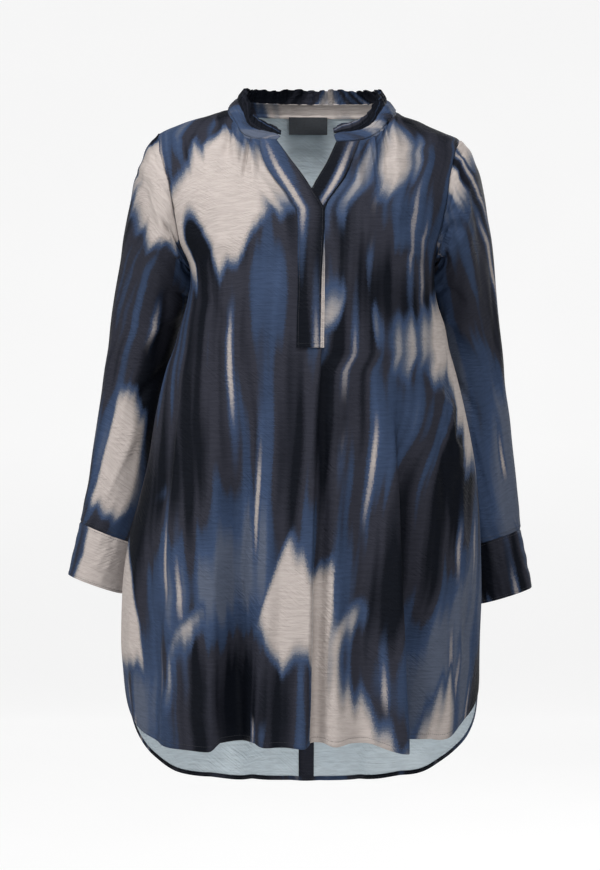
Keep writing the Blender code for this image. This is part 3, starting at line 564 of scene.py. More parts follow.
def ripple(across, along, shortest, longest, stretch, seed):
    """A smooth uneven field of about unit height, drawn out along the piece by stretch."""
    chance = np.random.default_rng(seed)
    waves = 26
    total = np.zeros(np.broadcast(across, along).shape)
    for _ in range(waves):
        wave = shortest * (longest / shortest) ** chance.random()
        angle = chance.normal(0.0, 0.7)
        phase = chance.random() * math.tau
        turn = (across * math.cos(angle) + along / stretch * math.sin(angle)) / wave
        total = total + np.sin(math.tau * turn + phase)
    return total * math.sqrt(2.0 / waves)


# ---------------------------------------------------------------- the body's surface
def section(z):
    """Reach right, left, front and back, and squareness, at height z."""
    return [between(SECTIONS, column, z) for column in range(1, len(SECTIONS[0]))]


def side_share(x, right, left):
    """X as a share of a section's reach to its own side."""
    return np.clip(np.abs(x) / np.where(x < 0, right, left), 0.0, 1.0)


def body_y(x, z, half):
    """Y of the body's plain surface at X and height z."""
    right, left, front, back, square = section(z)
    deep = (1 - side_share(x, right, left) ** square) ** (1 / square)
    return -front * deep if half == "front" else back * deep


def body_out(x, z, half):
    """The direction straight out of the body's plain surface."""
    e = 0.0005
    by_x = (body_y(x + e, z, half) - body_y(x - e, z, half)) / (2 * e)
    by_z = (body_y(x, z + e, half) - body_y(x, z - e, half)) / (2 * e)
    out = np.stack([-by_x, 1 + 0 * by_x, -by_z], axis=-1) * (-1 if half == "front" else 1)
    return out / np.linalg.norm(out, axis=-1, keepdims=True)


def across(edge_z, angle):
    """X at an angle across a row, whose ends are at edge_z."""
    right, left, _, _, square = section(edge_z)
    return np.where(angle < 0, right, left) * np.sign(angle) * np.abs(np.sin(angle)) ** (2.0 / square)


def angle_at(edge_z, x):
    """The angle across a row at which it has this X."""
    right, left, _, _, square = section(edge_z)
    return np.sign(x) * np.arcsin(side_share(x, right, left) ** (square / 2.0))


def edge_angle(side, z, half):
    """Where a panel ends at height z: at the side seam, at the armhole or at the shoulder seam."""
    underarm, shoulder, forward, backward = ARMHOLES[side]
    middle, radius = (underarm + shoulder) / 2, (shoulder - underarm) / 2
    swell = forward if half == "front" else backward
    depth = swell * np.sqrt(np.clip(1 - ((z - middle) / radius) ** 2, 0.0, 1.0))
    _, _, front, back, square = section(z)
    share = np.clip(depth / (front if half == "front" else back), 0.0, 1.0)
    return np.arccos(share ** (square / 2.0))


def relief(x, z, half):
    """How far the falling folds stand out of the plain section and lean to the left. Neither reaches the
    sides."""
    calm = 1 - side_share(x, *section(z)[:2]) ** 8
    depths = np.zeros(np.broadcast(x, z).shape)
    leans = depths.copy()
    hem = HEM_MIDDLE[half]
    for x_top, z_top, x_hem, reach_right, reach_left, depth, lean in FOLDS[half]:
        down = (z_top - z) / (z_top - hem)
        middle = x_top + (x_hem - x_top) * np.clip(down, 0.0, 1.1)
        reach = np.where(x < middle, reach_right, reach_left) * (0.65 + 0.35 * np.clip(down, 0.0, 1.0))
        strength = smooth(down / 0.35) * (0.3 + 0.7 * np.clip(down, 0.0, 1.0))
        strength = strength * np.exp(-(((x - middle) / reach) ** 2))
        depths = depths + depth * strength
        leans = leans + lean * strength
    return calm * depths, calm * leans


def fine_relief(x, z, half):
    """Depth of the creases and ripples, which fade at the sides."""
    calm = 1 - side_share(x, *section(z)[:2]) ** 14
    rippled = RIPPLE * ripple(x, z, 0.018, 0.060, 3.0, RIPPLE_SEEDS[half])
    return calm * (creases(CREASES[half], x, z) + rippled)


def gather_relief(side, x, z):
    """Depth of the gathers that the neck seam holds, between the shoulder and the placket."""
    count, start, end, length, depth = GATHERS[side]
    shoulder = SECTIONS[1][1] if side == "right" else SECTIONS[1][2]
    placket = abs(PLACKET[0][1] if side == "right" else PLACKET[0][4])
    below_neck = neck_height(angle_at(0.0, x) / (math.pi / 2), "front") - z
    fanned = np.abs(x) / (1 + 1.6 * np.clip(below_neck, 0.0, 0.2))
    to_placket = np.where(x < 0, side == "right", side == "left") * (shoulder - fanned) / (shoulder - placket)
    held = smooth((to_placket - start) / 0.10) * smooth((end - to_placket) / 0.10)
    reach = length * (0.70 + 0.30 * np.sin(9.0 * to_placket + 0.7))
    phase = 0.8 * count * to_placket + 0.20 * np.sin(math.tau * 2.7 * to_placket)
    uneven = 0.60 + 0.35 * np.sin(math.tau * 3.3 * to_placket + 1.0)
    fading = (0.25 + 0.75 * smooth(below_neck / 0.012)) * (1 - smooth(below_neck / reach))
    return depth * uneven * held * fading * np.cos(math.tau * phase)


def grid_normals(points, closed=False):
    """Unit normals of a grid of points, from its neighbours along rows and columns."""
    if closed:
        along = np.roll(points, -1, axis=1) - np.roll(points, 1, axis=1)
    else:
        along = np.gradient(points, axis=1)
    normal = np.cross(along, np.gradient(points, axis=0))
    return normal / np.maximum(np.linalg.norm(normal, axis=-1, keepdims=True), 1e-12)


def outward_sign(points, closed=False):
    """1 if the grid's normals point away from its middle, and -1 if they point to it."""
    middle = points.mean(axis=1, keepdims=True) if closed else points * (0, 0, 1)
    return np.sign((grid_normals(points, closed) * (points - middle)).sum(axis=-1).mean())


def outward(points, closed=False):
    """The grid's normals, turned outward."""
    return grid_normals(points, closed) * outward_sign(points, closed)


# ---------------------------------------------------------------- rows and columns of the body's panels
def hem_height(share, half):
    """Height of the hem, which sags at the folds."""
    plain = between(HEM, 1 if half == "front" else 2, share)
    x = across(plain, share * math.pi / 2)
    return plain - FOLD_SAG[half] * np.clip(relief(x, plain, half)[0], 0.0, None)


def neck_height(share, half):
    """Height of the neckline."""
    return between(NECKLINE, 1 if half == "front" else 2, share)


def row_shares(side, top):
    """Heights of the rows above the underarm as shares of the way up to the neck end of the shoulder."""
    underarm, shoulder = ARMHOLES[side][:2]
    turn = np.linspace(0, math.pi, ARMHOLE_ROWS + 1)[1:]
    armhole = underarm + (shoulder - underarm) * (1 - np.cos(turn)) / 2
    over = np.linspace(shoulder, top, SHOULDER_ROWS + 1)[1:]
    return (np.concatenate([armhole, over]) - underarm)[:, None] / (top - underarm)


def panel_heights(share, half):
    """Heights of a grid's points, from its shares across, row by row from the hem up to the neckline. Above
    the underarm, the rows crowd at the armhole's ends only near the sides."""
    share = np.broadcast_to(share, (ROWS + 1, share.shape[1]))
    to_left = (share + 1) / 2
    underarm = ARMHOLES["right"][0] * (1 - to_left) + ARMHOLES["left"][0] * to_left
    low, top = hem_height(share, half), neck_height(share, half)
    skirt = slice(0, SKIRT_ROWS + 1)
    bust = slice(SKIRT_ROWS + 1, SKIRT_ROWS + BUST_ROWS + 1)
    upper = slice(SKIRT_ROWS + BUST_ROWS + 1, None)
    z = np.empty(share.shape)
    z[skirt] = low[skirt] + (SLIT_FOOT - low[skirt]) * np.linspace(0, 1, SKIRT_ROWS + 1)[:, None]
    z[bust] = SLIT_FOOT + (underarm[bust] - SLIT_FOOT) * np.linspace(0, 1, BUST_ROWS + 1)[1:, None]
    mix = row_shares("right", NECKLINE[0][1]) * (1 - to_left[upper])
    mix = mix + row_shares("left", NECKLINE[-1][1]) * to_left[upper]
    even = np.linspace(0, 1, len(mix) + 1)[1:, None]
    mix = even + (mix - even) * np.abs(share[upper]) ** 3
    z[upper] = underarm[upper] + (top[upper] - underarm[upper]) * mix
    return z


def grid_x(share, z, half):
    """X of a grid's points. Above the underarm, only the columns near the sides follow the armhole."""
    ends = panel_heights(np.array([[-1.0, 1.0]]), half)
    underarm = SKIRT_ROWS + BUST_ROWS
    above = np.arange(ROWS + 1)[:, None] > underarm
    near = np.abs(share) ** 3
    sides = []
    for column, side in enumerate(("right", "left")):
        end_z = ends[:, column : column + 1]
        level = section(np.where(above, end_z, z))
        reach, square = level[column], level[4]
        up = np.clip((end_z - end_z[underarm]) / (end_z[-1] - end_z[underarm]), 0.0, 1.0)
        calm = section(end_z[underarm])[column] * (1 - up) + section(end_z[-1])[column] * up
        reach = np.where(above, calm + (reach - calm) * near, reach)
        angle = share * (math.pi / 2 + (edge_angle(side, end_z, half) - math.pi / 2) * near)
        sides.append(reach * np.sign(angle) * np.abs(np.sin(angle)) ** (2.0 / square))
    return np.where(share < 0, *sides)


def middle_heights(half):
    """Heights of the rows at the middle of a panel."""
    return panel_heights(np.zeros((1, 1)), half)


def share_at(x, half):
    """For each row, the share across at which it has this X."""
    share = np.linspace(-1, 1, 401)[None, :] + np.zeros((ROWS + 1, 1))
    rows = grid_x(share, middle_heights(half), half)
    return np.array([np.interp(x[k], rows[k], share[k]) for k in range(ROWS + 1)])


def panel_points(share, half, level=0.0):
    """Points of a panel, from a row of shares across for each row of heights."""
    z = panel_heights(share, half)
    x = grid_x(share, z, half)
    plain = np.stack([x, body_y(x, z, half), z], axis=-1)
    depth, lean = relief(x, z, half)
    depth = depth + fine_relief(x, z, half) + level
    if half == "front":
        depth = depth + gather_relief("right", x, z) + gather_relief("left", x, z)
    from_side = (1 - np.abs(share)) * (np.abs(x).max(axis=1) * 1.3)[:, None]
    from_neck = neck_height(share, half) - z
    depth = depth - SEAM_TUCK * np.maximum(near_edge(from_side), near_edge(from_neck))
    return plain + body_out(x, z, half) * depth[..., None] + np.array([1.0, 0, 0]) * lean[..., None]


def spread(cells):
    """Even steps from 0 to 1, with one more close to 0, where a seam is."""
    return np.insert(np.linspace(0, 1, cells), 1, 0.0045)[None, :]


def slit_lines():
    """X of the slit's two sides at each row, carried on below it by the pleat's lines."""
    z = middle_heights("front")
    right = np.where(z > SLIT_FOOT - 0.001, between(PLACKET, 1, z) + SLIT_LAP, between(PLEAT, 1, z))
    left = np.where(z > SLIT_FOOT - 0.001, between(PLACKET, 4, z) - SLIT_LAP, between(PLEAT, 2, z))
    return right, left


def front_points():
    """The front, slit at the neck. Below the slit the cloth turns back under the pleat's edge and runs on."""
    right_line, left_line = slit_lines()
    z = middle_heights("front")
    opened = smooth((SLIT_FOOT - 0.006 - z) / 0.030)
    deep = smooth((SLIT_FOOT - z) / 0.012)
    right, left = share_at(right_line, "front"), share_at(left_line, "front")
    turned = [share_at(left_line + past * opened, "front") for past, _ in PLEAT_TURN]
    to_placket = spread(FRONT_CELLS)
    pleat = np.linspace(0, 1, PLEAT_CELLS + 1)[None, 1:]
    under = turned[-1]
    beyond = under + (1 - under) * (1 - to_placket[:, ::-1])
    share = [-1 + (1 + right) * to_placket, right + (left - right) * pleat, *turned, beyond[:, 1:]]
    share = np.concatenate(share, axis=1)
    edge = FRONT_CELLS + PLEAT_CELLS
    level = np.zeros(share.shape[1])
    level[: edge + 1] = PLEAT_EDGE_LEVEL * smooth((np.arange(edge + 1) - edge + 9) / 9)
    level[edge + 1 : edge + 1 + len(PLEAT_TURN)] = [row[1] for row in PLEAT_TURN]
    past = np.arange(share.shape[1] - edge - 1 - len(PLEAT_TURN))
    level[edge + 1 + len(PLEAT_TURN) :] = PLEAT_UNDER_LEVEL * (1 - smooth((past - 5) / 9))
    return panel_points(share, "front", level * deep)


def front_cells():
    """The front's cells, without those of the slit."""
    middle = PLEAT_CELLS + len(PLEAT_TURN)
    keep = np.ones((ROWS, 2 * FRONT_CELLS + middle), bool)
    keep[SKIRT_ROWS:, FRONT_CELLS : FRONT_CELLS + middle] = False
    return keep


def back_points():
    """The back, with columns on the two edges of the strip inside it."""
    middle = STRIP_DRIFT * smooth((STRIP_DRIFT_FROM - middle_heights("back")) / STRIP_DRIFT_OVER)
    first = share_at(middle - STRIP_HALF, "back")
    second = share_at(middle + STRIP_HALF, "back")
    inner = np.linspace(0, 1, STRIP_CELLS + 1)[None, 1:-1]
    steps = spread(BACK_CELLS)
    beyond = second + (1 - second) * (1 - steps[:, ::-1])
    share = [-1 + (1 + first) * steps, first + (second - first) * inner, beyond]
    return panel_points(np.concatenate(share, axis=1), "back")


def with_hem(points):
    """A grid with its hem turned up to the inside, over its lowest row."""
    inside = points - outward(points) * HEM_LAYER
    fold = (points[0] + inside[0]) / 2 - np.array([0, 0, HEM_LAYER / 2])
    return np.concatenate([inside[1::-1], fold[None], points])


# ---------------------------------------------------------------- pieces that lie on the body
def back_strip_points(back):
    """The strip inside the back: the panel's own points, moved in."""
    inside = back - outward(back) * STRIP_LEVEL
    strip = inside[:, BACK_CELLS : BACK_CELLS + STRIP_CELLS + 1]
    return strip[(strip[:, 0, 2] < STRIP_TOP) & (strip[:, 0, 2] > strip[0, 0, 2] + 0.001)]


def on_front(x, z, level):
    """Points on the front's surface, moved out by a level."""
    depth = relief(x, z, "front")[0] + fine_relief(x, z, "front")
    point = np.stack([x, body_y(x, z, "front") - depth, z], axis=-1)
    return point + outward(point) * np.broadcast_to(level, x.shape)[..., None]


def placket_top(x):
    """Height just below the front neckline at X."""
    ends = (NECKLINE[0][1], NECKLINE[-1][1])
    angle = np.where(x < 0, angle_at(ends[0], x), angle_at(ends[1], x))
    return neck_height(angle / (math.pi / 2), "front") - SEAM_GAP


def placket_strip(name):
    """A strip between two of the placket's lines, up to the neck seam, with edges rounded by folding and
    slightly puckered by their stitching."""
    t = np.linspace(0, 1, PLACKET_ROWS + 1)[:, None]
    foot, top = PLACKET[-1][0], PLACKET[0][0]
    z = foot + (top - foot) * t
    first, second = (between(PLACKET, edge, z) for edge in PLACKET_EDGES[name])
    share = np.sort(np.concatenate([np.linspace(0, 1, PLACKET_CELLS - 1), [0.02, 0.98]]))[None, :]
    x = first + (second - first) * share
    z = z + (placket_top(x) - top) * t**8
    from_edge = np.minimum(np.minimum(share, 1 - share) * (second - first), z - foot)
    pucker = PLACKET_PUCKER * near_edge(from_edge, 0.006) * ripple(x * 0, z, 0.005, 0.012, 1.0, 5)
    return on_front(x, z, PLACKET_LEVELS[name] - FOLDED_IN * near_edge(from_edge, FOLD_REACH) + pucker)


def neck_label():
    """The label hangs from the back of the band, just inside the back panel."""
    width, drop = LABEL
    x = LABEL_MIDDLE + width * np.linspace(-0.5, 0.5, LABEL_CELLS + 1)[None, :]
    z = np.linspace(-drop, LABEL_TOP, LABEL_ROWS + 1)[:, None]
    curl = LABEL_CURL * np.sin(3.0 * z / drop + 0.4) * np.cos(70.0 * x)
    inside = body_y(x, 0 * z, "back") - LABEL_INSIDE - LABEL_SLOPE * z + curl
    return np.stack([x + 0 * z, inside, z + 0 * x], axis=-1)


# ---------------------------------------------------------------- collar
def neck_point(turn):
    """A point of the neckline, turn degrees round from the middle of the front."""
    turn = (np.asarray(turn, float) + 180.0) % 360.0 - 180.0
    in_front = np.abs(turn) <= 90.0
    share = np.where(in_front, turn / 90.0, np.sign(turn) * (2 - np.abs(turn) / 90.0))
    edge = np.where(share < 0, NECKLINE[0][1], NECKLINE[-1][1])
    x = across(edge, share * math.pi / 2)
    front_z, back_z = neck_height(share, "front"), neck_height(share, "back")
    y = np.where(in_front, body_y(x, front_z, "front"), body_y(x, back_z, "back"))
    return np.stack([x, y, np.where(in_front, front_z, back_z)], axis=-1)


def neck_inward(turn):
    """The level direction into the neck, square to the neckline."""
    along = neck_point(turn + 7.0) - neck_point(turn - 7.0)
    inward = np.stack([-along[..., 1], along[..., 0], 0 * along[..., 0]], axis=-1)
    return inward / np.linalg.norm(inward, axis=-1, keepdims=True)


def collar(turn):
    """Heights of the band and the frill at a turn, and the direction in which they stand."""
    band, frill, lean = (between(COLLAR, column, turn) for column in (1, 2, 3))
    lean = np.radians(lean)[..., None]
    return band, frill, neck_inward(turn) * np.sin(lean) + np.array([0, 0, 1.0]) * np.cos(lean)


def band_points():
    """The collar band, with rounded front ends, slightly puckered along its seams."""
    foot = np.linspace(*BAND_FOOT_ENDS, BAND_CELLS + 1)
    top = np.linspace(*BAND_TOP_ENDS, BAND_CELLS + 1)
    from_end = np.minimum(np.arange(BAND_CELLS + 1), np.arange(BAND_CELLS, -1, -1)) / 4.0
    rounding = 1 - 0.30 * (1 - np.clip(from_end, 0, 1)) ** 2
    rows = []
    for t in BAND_SHARES:
        turn = foot + (top - foot) * t
        band, _, rise = collar(turn)
        pucker = BAND_PUCKER * ripple(turn * 0.0015, t * 0.02, 0.006, 0.016, 1.0, 11)
        from_seam = max(min(t, 1.0 - t), 0.0) * BAND_HEIGHT
        swell = BAND_SWELL * math.sin(math.pi * max(t, 0.0)) + pucker - SEAM_TUCK * near_edge(from_seam)
        base = neck_point(turn) - neck_inward(turn) * swell[:, None]
        rows.append(base + rise * (band * t * rounding)[:, None])
    return np.array(rows)


def frill_points():
    """The gathered frill: box-like waves that open from the band's edge to the free edge, uneven in size and
    calmer in front, with finer gathers along the seam."""
    cells = FRILL_WAVES * FRILL_CELLS_PER_WAVE
    along = np.linspace(0, 1, cells + 1)
    turn = BAND_TOP_ENDS[0] + (BAND_TOP_ENDS[1] - BAND_TOP_ENDS[0]) * along
    uneven = 0.70 + 0.30 * np.sin(math.tau * 7.3 * along + 1.1) * np.cos(math.tau * 3.1 * along)
    uneven = uneven * (0.45 + 0.55 * smooth((np.minimum(along, 1 - along) - 0.10) / 0.15))
    phase = math.tau * FRILL_WAVES * along + 2.2 * np.sin(math.tau * 4 * along)
    phase = phase + 0.9 * np.sin(math.tau * 9.7 * along + 0.5)
    wave = np.tanh(2.3 * np.sin(phase)) * uneven
    gathers = np.sin(2.6 * phase + 1.4 * np.sin(math.tau * 13 * along))
    band, frill, rise = collar(turn)
    tall = frill * (1 + 0.05 * np.sin(math.tau * 11 * along + 0.6) + 0.03 * np.sin(phase + 0.8))
    tall = tall * (0.72 + 0.28 * smooth(np.minimum(along, 1 - along) / 0.012))
    tip = FRILL_TIP * np.sin(0.5 * phase + 0.9) * np.sin(math.tau * 9 * along)
    side = np.cross(rise, neck_inward(turn))
    rows = []
    for t in np.linspace(-0.06, 1.0, FRILL_ROWS + 1):
        up = max(t, 0.0)
        swing = FRILL_SWING * wave * (0.10 + 0.95 * up**0.8) + tip * t * t
        swing = swing + FRILL_GATHER * gathers * up**0.5 * (1.2 - up)
        lap = FRILL_LAP * np.sin(2 * phase + 0.5) * uneven * up
        foot = neck_point(turn) + rise * (band + tall * t)[:, None]
        swing = swing + FRILL_FOOT * (1 - smooth(up / 0.35))
        rows.append(foot + neck_inward(turn) * swing[:, None] + side * lap[:, None])
    return np.array(rows)


# ---------------------------------------------------------------- sleeves and cuffs
def tube_point(rows, along, turn):
    """A tube through a table of sections. turn is 0 at the outer point, and goes round by the front."""
    along, turn = np.broadcast_arrays(along, turn)
    numbered = [(i / (len(rows) - 1), *row) for i, row in enumerate(rows)]
    ox, oz, ix, iz, middle_y, half_depth = (between(numbered, c, along) for c in range(1, 7))
    out = (1 + np.cos(turn)) / 2
    x, z = ix + (ox - ix) * out, iz + (oz - iz) * out
    return np.stack([x, middle_y - half_depth * np.sin(turn), z], axis=-1)


def armhole_point(side, turn):
    """The armhole's seam line."""
    underarm, shoulder = ARMHOLES[side][:2]
    z = underarm + (shoulder - underarm) * (1 + np.cos(turn)) / 2
    sign = -1.0 if side == "right" else 1.0
    ring = []
    for half in ("front", "back"):
        x = across(z, sign * edge_angle(side, z, half))
        ring.append(np.stack([x, body_y(x, z, half), z], axis=-1))
    return np.where((np.sin(turn) >= 0)[..., None], *ring)


def sleeve_relief(side, along, turn):
    """Depth of a sleeve's folds, creases, gathers at its head and ripples."""
    total = np.zeros(np.broadcast(along, turn).shape)
    for angle, starts, peaks, ends, reach, depth in SLEEVE_FOLDS[side]:
        away = (np.degrees(turn) - angle + 180.0) % 360.0 - 180.0
        strength = smooth((along - starts) / (peaks - starts)) * smooth((ends - along) / (ends - peaks))
        total = total + depth * strength * np.exp(-((away / reach) ** 2))
    way = along * SLEEVE_LENGTH
    for whole_turns in (-1, 0, 1):
        round_it = (turn + whole_turns * math.tau) * SLEEVE_RADIUS
        total = total + creases(SLEEVE_CREASES[side], round_it, way)
    rings = ripple(np.cos(turn) * SLEEVE_RADIUS, way + 0.03 * np.sin(turn), 0.020, 0.060, 1.6, 21 + len(side))
    head = np.cos(17 * turn + 2.0 * np.sin(2 * turn)) * smooth((1.0 - np.abs(turn - 0.15)) / 0.5)
    gathers = HEAD_GATHER * head * (1 - smooth(way / HEAD_GATHER_LENGTH))
    return total + RIPPLE * rings + gathers - SEAM_TUCK * near_edge(way)


def sleeve_points(side):
    """A sleeve from the armhole to the cuff, with its seam allowance turned in under the body."""
    along = (np.linspace(0, 1, SLEEVE_ROWS + 1) ** 1.15)[:, None]
    plain = tube_point(SLEEVES[side], along, TURNS)
    start = armhole_point(side, TURNS[0]) - plain[0]
    end = tube_point(CUFFS[side], 0.0, TURNS[0]) - plain[-1]
    plain = plain + start[None] * (1 - smooth(along / 0.28))[..., None]
    plain = plain + end[None] * smooth((along - 0.96) / 0.04)[..., None]
    around = (TURNS + math.pi) % math.tau - math.pi
    depth = sleeve_relief(side, along, around) * (1 - 0.8 * smooth((along - 0.94) / 0.06))
    depth = depth - SEAM_TUCK * near_edge((1 - along) * SLEEVE_LENGTH)
    out = outward(plain, closed=True)
    points = plain + out * depth[..., None]
    way = plain[1] - plain[0]
    way = way / np.linalg.norm(way, axis=-1, keepdims=True)
    turned_in = points[0] - way * SEAM_ALLOWANCE - out[0] * 0.5 * SEAM_ALLOWANCE
    return np.concatenate([turned_in[None], points])


def cuff_points(side):
    """A cuff of two layers, seamed to the sleeve above and folded below."""
    along = np.insert(np.linspace(0, 1, CUFF_ROWS + 1), (1, CUFF_ROWS), (0.015, 0.985))[:, None]
    plain = tube_point(CUFFS[side], along, TURNS)
    from_seam, from_fold = along * CUFF_DEPTH, (1 - along) * CUFF_DEPTH
    depth = CUFF_RIPPLE * ripple(np.cos(TURNS) * 0.05, from_seam, 0.012, 0.040, 1.0, 31 + len(side))
    depth = depth * (1 - 0.5 * near_edge(from_fold, 0.02)) - SEAM_TUCK * near_edge(from_seam)
    depth = depth - CUFF_FOLDED_IN * near_edge(from_fold, FOLD_REACH)
    return plain + outward(plain, closed=True) * depth[..., None]


# ---------------------------------------------------------------- materials
def fill(tree, node, values):
    """Sets or links a node's inputs."""
    for socket, value in values.items():
        if isinstance(value, bpy.types.NodeSocket):
            tree.links.new(value, node.inputs[socket])
        else:
            node.inputs[socket].default_value = value
    return node


def add(tree, kind, values, **settings):
    """A shader node with its settings and inputs."""
    made = tree.nodes.new("ShaderNode" + kind)
    for setting, value in settings.items():
        setattr(made, setting, value)
    return fill(tree, made, values)


def noise(tree, place, per_metre, offset, detail=1.0, roughness=0.5):
    """Noise stretched to so many grains a metre across and along the cloth."""
    values = {0: place, 1: (*per_metre, 1.0), 2: (offset, offset * 0.7, 0.0)}
    moved = add(tree, "VectorMath", values, operation="MULTIPLY_ADD").outputs[0]
    values = {"Vector": moved, "Scale": 1.0, "Detail": detail, "Roughness": roughness}
    return add(tree, "TexNoise", values, noise_dimensions="2D")


def step(tree, value, low, high):
    """A soft step from 0 at low to 1 at high."""
    values = {"Value": value, "From Min": low, "From Max": high}
    return add(tree, "MapRange", values, interpolation_type="SMOOTHSTEP").outputs[0]


def times(tree, first, second):
    return add(tree, "Math", {0: first, 1: second}, operation="MULTIPLY").outputs[0]


def mixed(tree, factor, first, second):
    first, second = (c if isinstance(c, bpy.types.NodeSocket) else (*c, 1.0) for c in (first, second))
    return add(tree, "Mix", {0: factor, 6: first, 7: second}, data_type="RGBA").outputs[2]


def shifted(tree, place, by, how_far):
    """A place moved by a colour, so far each way."""
    return add(tree, "VectorMath", {0: by, 1: how_far, 2: place}, operation="MULTIPLY_ADD").outputs[0]


def ramp(tree, value, stops):
    """A colour for each value, from a table of places and colours."""
    made = add(tree, "ValToRGB", {0: value})
    elements = made.color_ramp.elements
    elements[0].position, elements[1].position = stops[0][0], stops[-1][0]
    elements[0].color, elements[1].color = (*stops[0][1], 1.0), (*stops[-1][1], 1.0)
    for place, colour in stops[1:-1]:
        elements.new(place).color = (*colour, 1.0)
    return made.outputs[0]


def cells(tree, place, per_metre):
    """Scattered cells: each point's distance from its cell's middle, and the cell's chance."""
    scaled = add(tree, "VectorMath", {0: place, 1: (*per_metre, 0.0)}, operation="MULTIPLY").outputs[0]
    made = add(tree, "TexVoronoi", {"Vector": scaled, "Scale": 1.0}, voronoi_dimensions="2D")
    return made.outputs["Distance"], add(tree, "SeparateColor", {0: made.outputs["Color"]}).outputs[0]


def pushed(tree, value, by, how_far):
    """A value that a second one pushes up or down."""
    return add(tree, "Math", {0: by, 1: how_far, 2: value}, operation="MULTIPLY_ADD").outputs[0]


def print_colour(tree, cut):
    """The smeared print: an airbrushed ground in fields that run down in drips, thin pale streaks, and soft
    pale lobes with a blue rim, cut by a few firm strokes."""
    grain = noise(tree, cut, GRAINS, 3.0, 1.5, 0.7).outputs["Color"]
    sway = noise(tree, cut, SWAY, 7.0, 1.0).outputs["Color"]
    still = shifted(tree, cut, grain, JITTER)
    swayed = shifted(tree, still, sway, SWAYED)
    half_swayed = shifted(tree, still, sway, HALF_SWAYED)
    drips = noise(tree, half_swayed, DRIPS, 53.0, 1.2).outputs[0]
    fine = noise(tree, half_swayed, FINE_DRIPS, 23.0, 1.0).outputs[0]
    fields = noise(tree, swayed, FIELDS, 1.0, 0.6).outputs[0]
    fields = pushed(tree, pushed(tree, fields, drips, FIELD_DRIPS), fine, FIELD_FINE_DRIPS)
    colour = ramp(tree, fields, GROUND)
    away, chance = cells(tree, half_swayed, STREAKS)
    where = step(tree, noise(tree, cut, STREAK_PATCHES, 37.0).outputs[0], *PATCH_EDGE)
    chosen = times(tree, step(tree, chance, *CHANCE_EDGE), where)
    for edge, streak in ((STREAK_RIM, BRIGHT_BLUE), (STREAK_CORE, BEIGE_SHADE)):
        colour = mixed(tree, times(tree, step(tree, away, *edge), chosen), colour, streak)
    lobes = noise(tree, swayed, LOBES, 43.0, 0.0).outputs[0]
    lobes = pushed(tree, pushed(tree, lobes, drips, LOBE_DRIPS), fine, LOBE_FINE_DRIPS)
    strokes = noise(tree, swayed, STROKES, 71.0, 0.5).outputs[0]
    lit = times(tree, step(tree, lobes, *LOBE_EDGE), step(tree, strokes, *STROKE_EDGE))
    return mixed(tree, step(tree, lit, *LOBE_RIM), colour, ramp(tree, lit, LOBE))


def principled(name):
    """A new material, its node tree and its shader."""
    made = bpy.data.materials.new(name)
    made.use_nodes = True
    return made, made.node_tree, made.node_tree.nodes["Principled BSDF"]


def bump(tree, height, strength, depth):
    return add(tree, "Bump", {"Height": height, "Strength": strength, "Distance": depth}).outputs[0]


def cloth_material(name, wrong_side=False):
    """The woven cloth, crinkled across, with its print or, on the wrong side, what little shows through."""
    made, tree, shader = principled(name)
    cut = add(tree, "UVMap", {}, uv_map="Cut").outputs[0]
    slub = noise(tree, cut, SLUB, 5.0, 2.0).outputs[0]
    crinkle = noise(tree, cut, CRINKLE, 13.0, 2.5, 0.6).outputs[0]
    patches = step(tree, noise(tree, cut, PATCHES, 19.0).outputs[0], 0.35, 0.65)
    values = {"Vector": cut, "Angle": DRAWN_SLANT}
    slanted = add(tree, "VectorRotate", values, rotation_type="Z_AXIS").outputs[0]
    drawn = times(tree, noise(tree, slanted, DRAWN, 27.0, 1.5).outputs[0], patches)
    woven = pushed(tree, crinkle, slub, 0.25)
    height = pushed(tree, times(tree, woven, 0.7), drawn, 1.0)
    colour = print_colour(tree, cut)
    if wrong_side:
        colour = mixed(tree, SHOWS_THROUGH, WRONG_SIDE, colour)
    # Painted crinkle shade and light, darker in the weave's hollows and lighter on its ridges, with the
    # slubs' own tone, multiplied into the colour.
    crinkle_shade_and_slub_tone = mixed(tree, step(tree, woven, 0.40, 0.85), SLUB_TONE_AND_CRINKLE_SHADE, SLUB_TONE_AND_CRINKLE_HIGHLIGHT)
    values = {0: 1.0, 6: colour, 7: crinkle_shade_and_slub_tone}
    colour = add(tree, "Mix", values, data_type="RGBA", blend_type="MULTIPLY").outputs[2]
    low, high = ROUGHNESS
    rough = add(tree, "MapRange", {"Value": slub, "To Min": low, "To Max": high}).outputs[0]
    normal = bump(tree, height, WEAVE_BUMP, WEAVE_DEPTH)
    values = {"Base Color": colour, "Roughness": rough, "Specular IOR Level": SPECULAR, "Normal": normal}
    fill(tree, shader, values)
    return made


def plain_material(name, first, second, grains, roughness, depth=0.0, glow=0.0):
    """Two close shades mixed by a grain in the object's own space."""
    made, tree, shader = principled(name)
    place = add(tree, "TexCoord", {}).outputs["Object"]
    moved = add(tree, "VectorMath", {0: place, 1: grains}, operation="MULTIPLY").outputs[0]
    mottle = add(tree, "TexNoise", {"Vector": moved, "Scale": 1.0, "Detail": 2.0}).outputs[0]
    colour = mixed(tree, step(tree, mottle, 0.35, 0.65), first, second)
    fill(tree, shader, {"Base Color": colour, "Roughness": roughness})
    if depth:
        fill(tree, shader, {"Normal": bump(tree, mottle, 0.8, depth)})
    if glow:
        fill(tree, shader, {"Emission Color": (1.0, 1.0, 1.0, 1.0), "Emission Strength": glow})
    return made


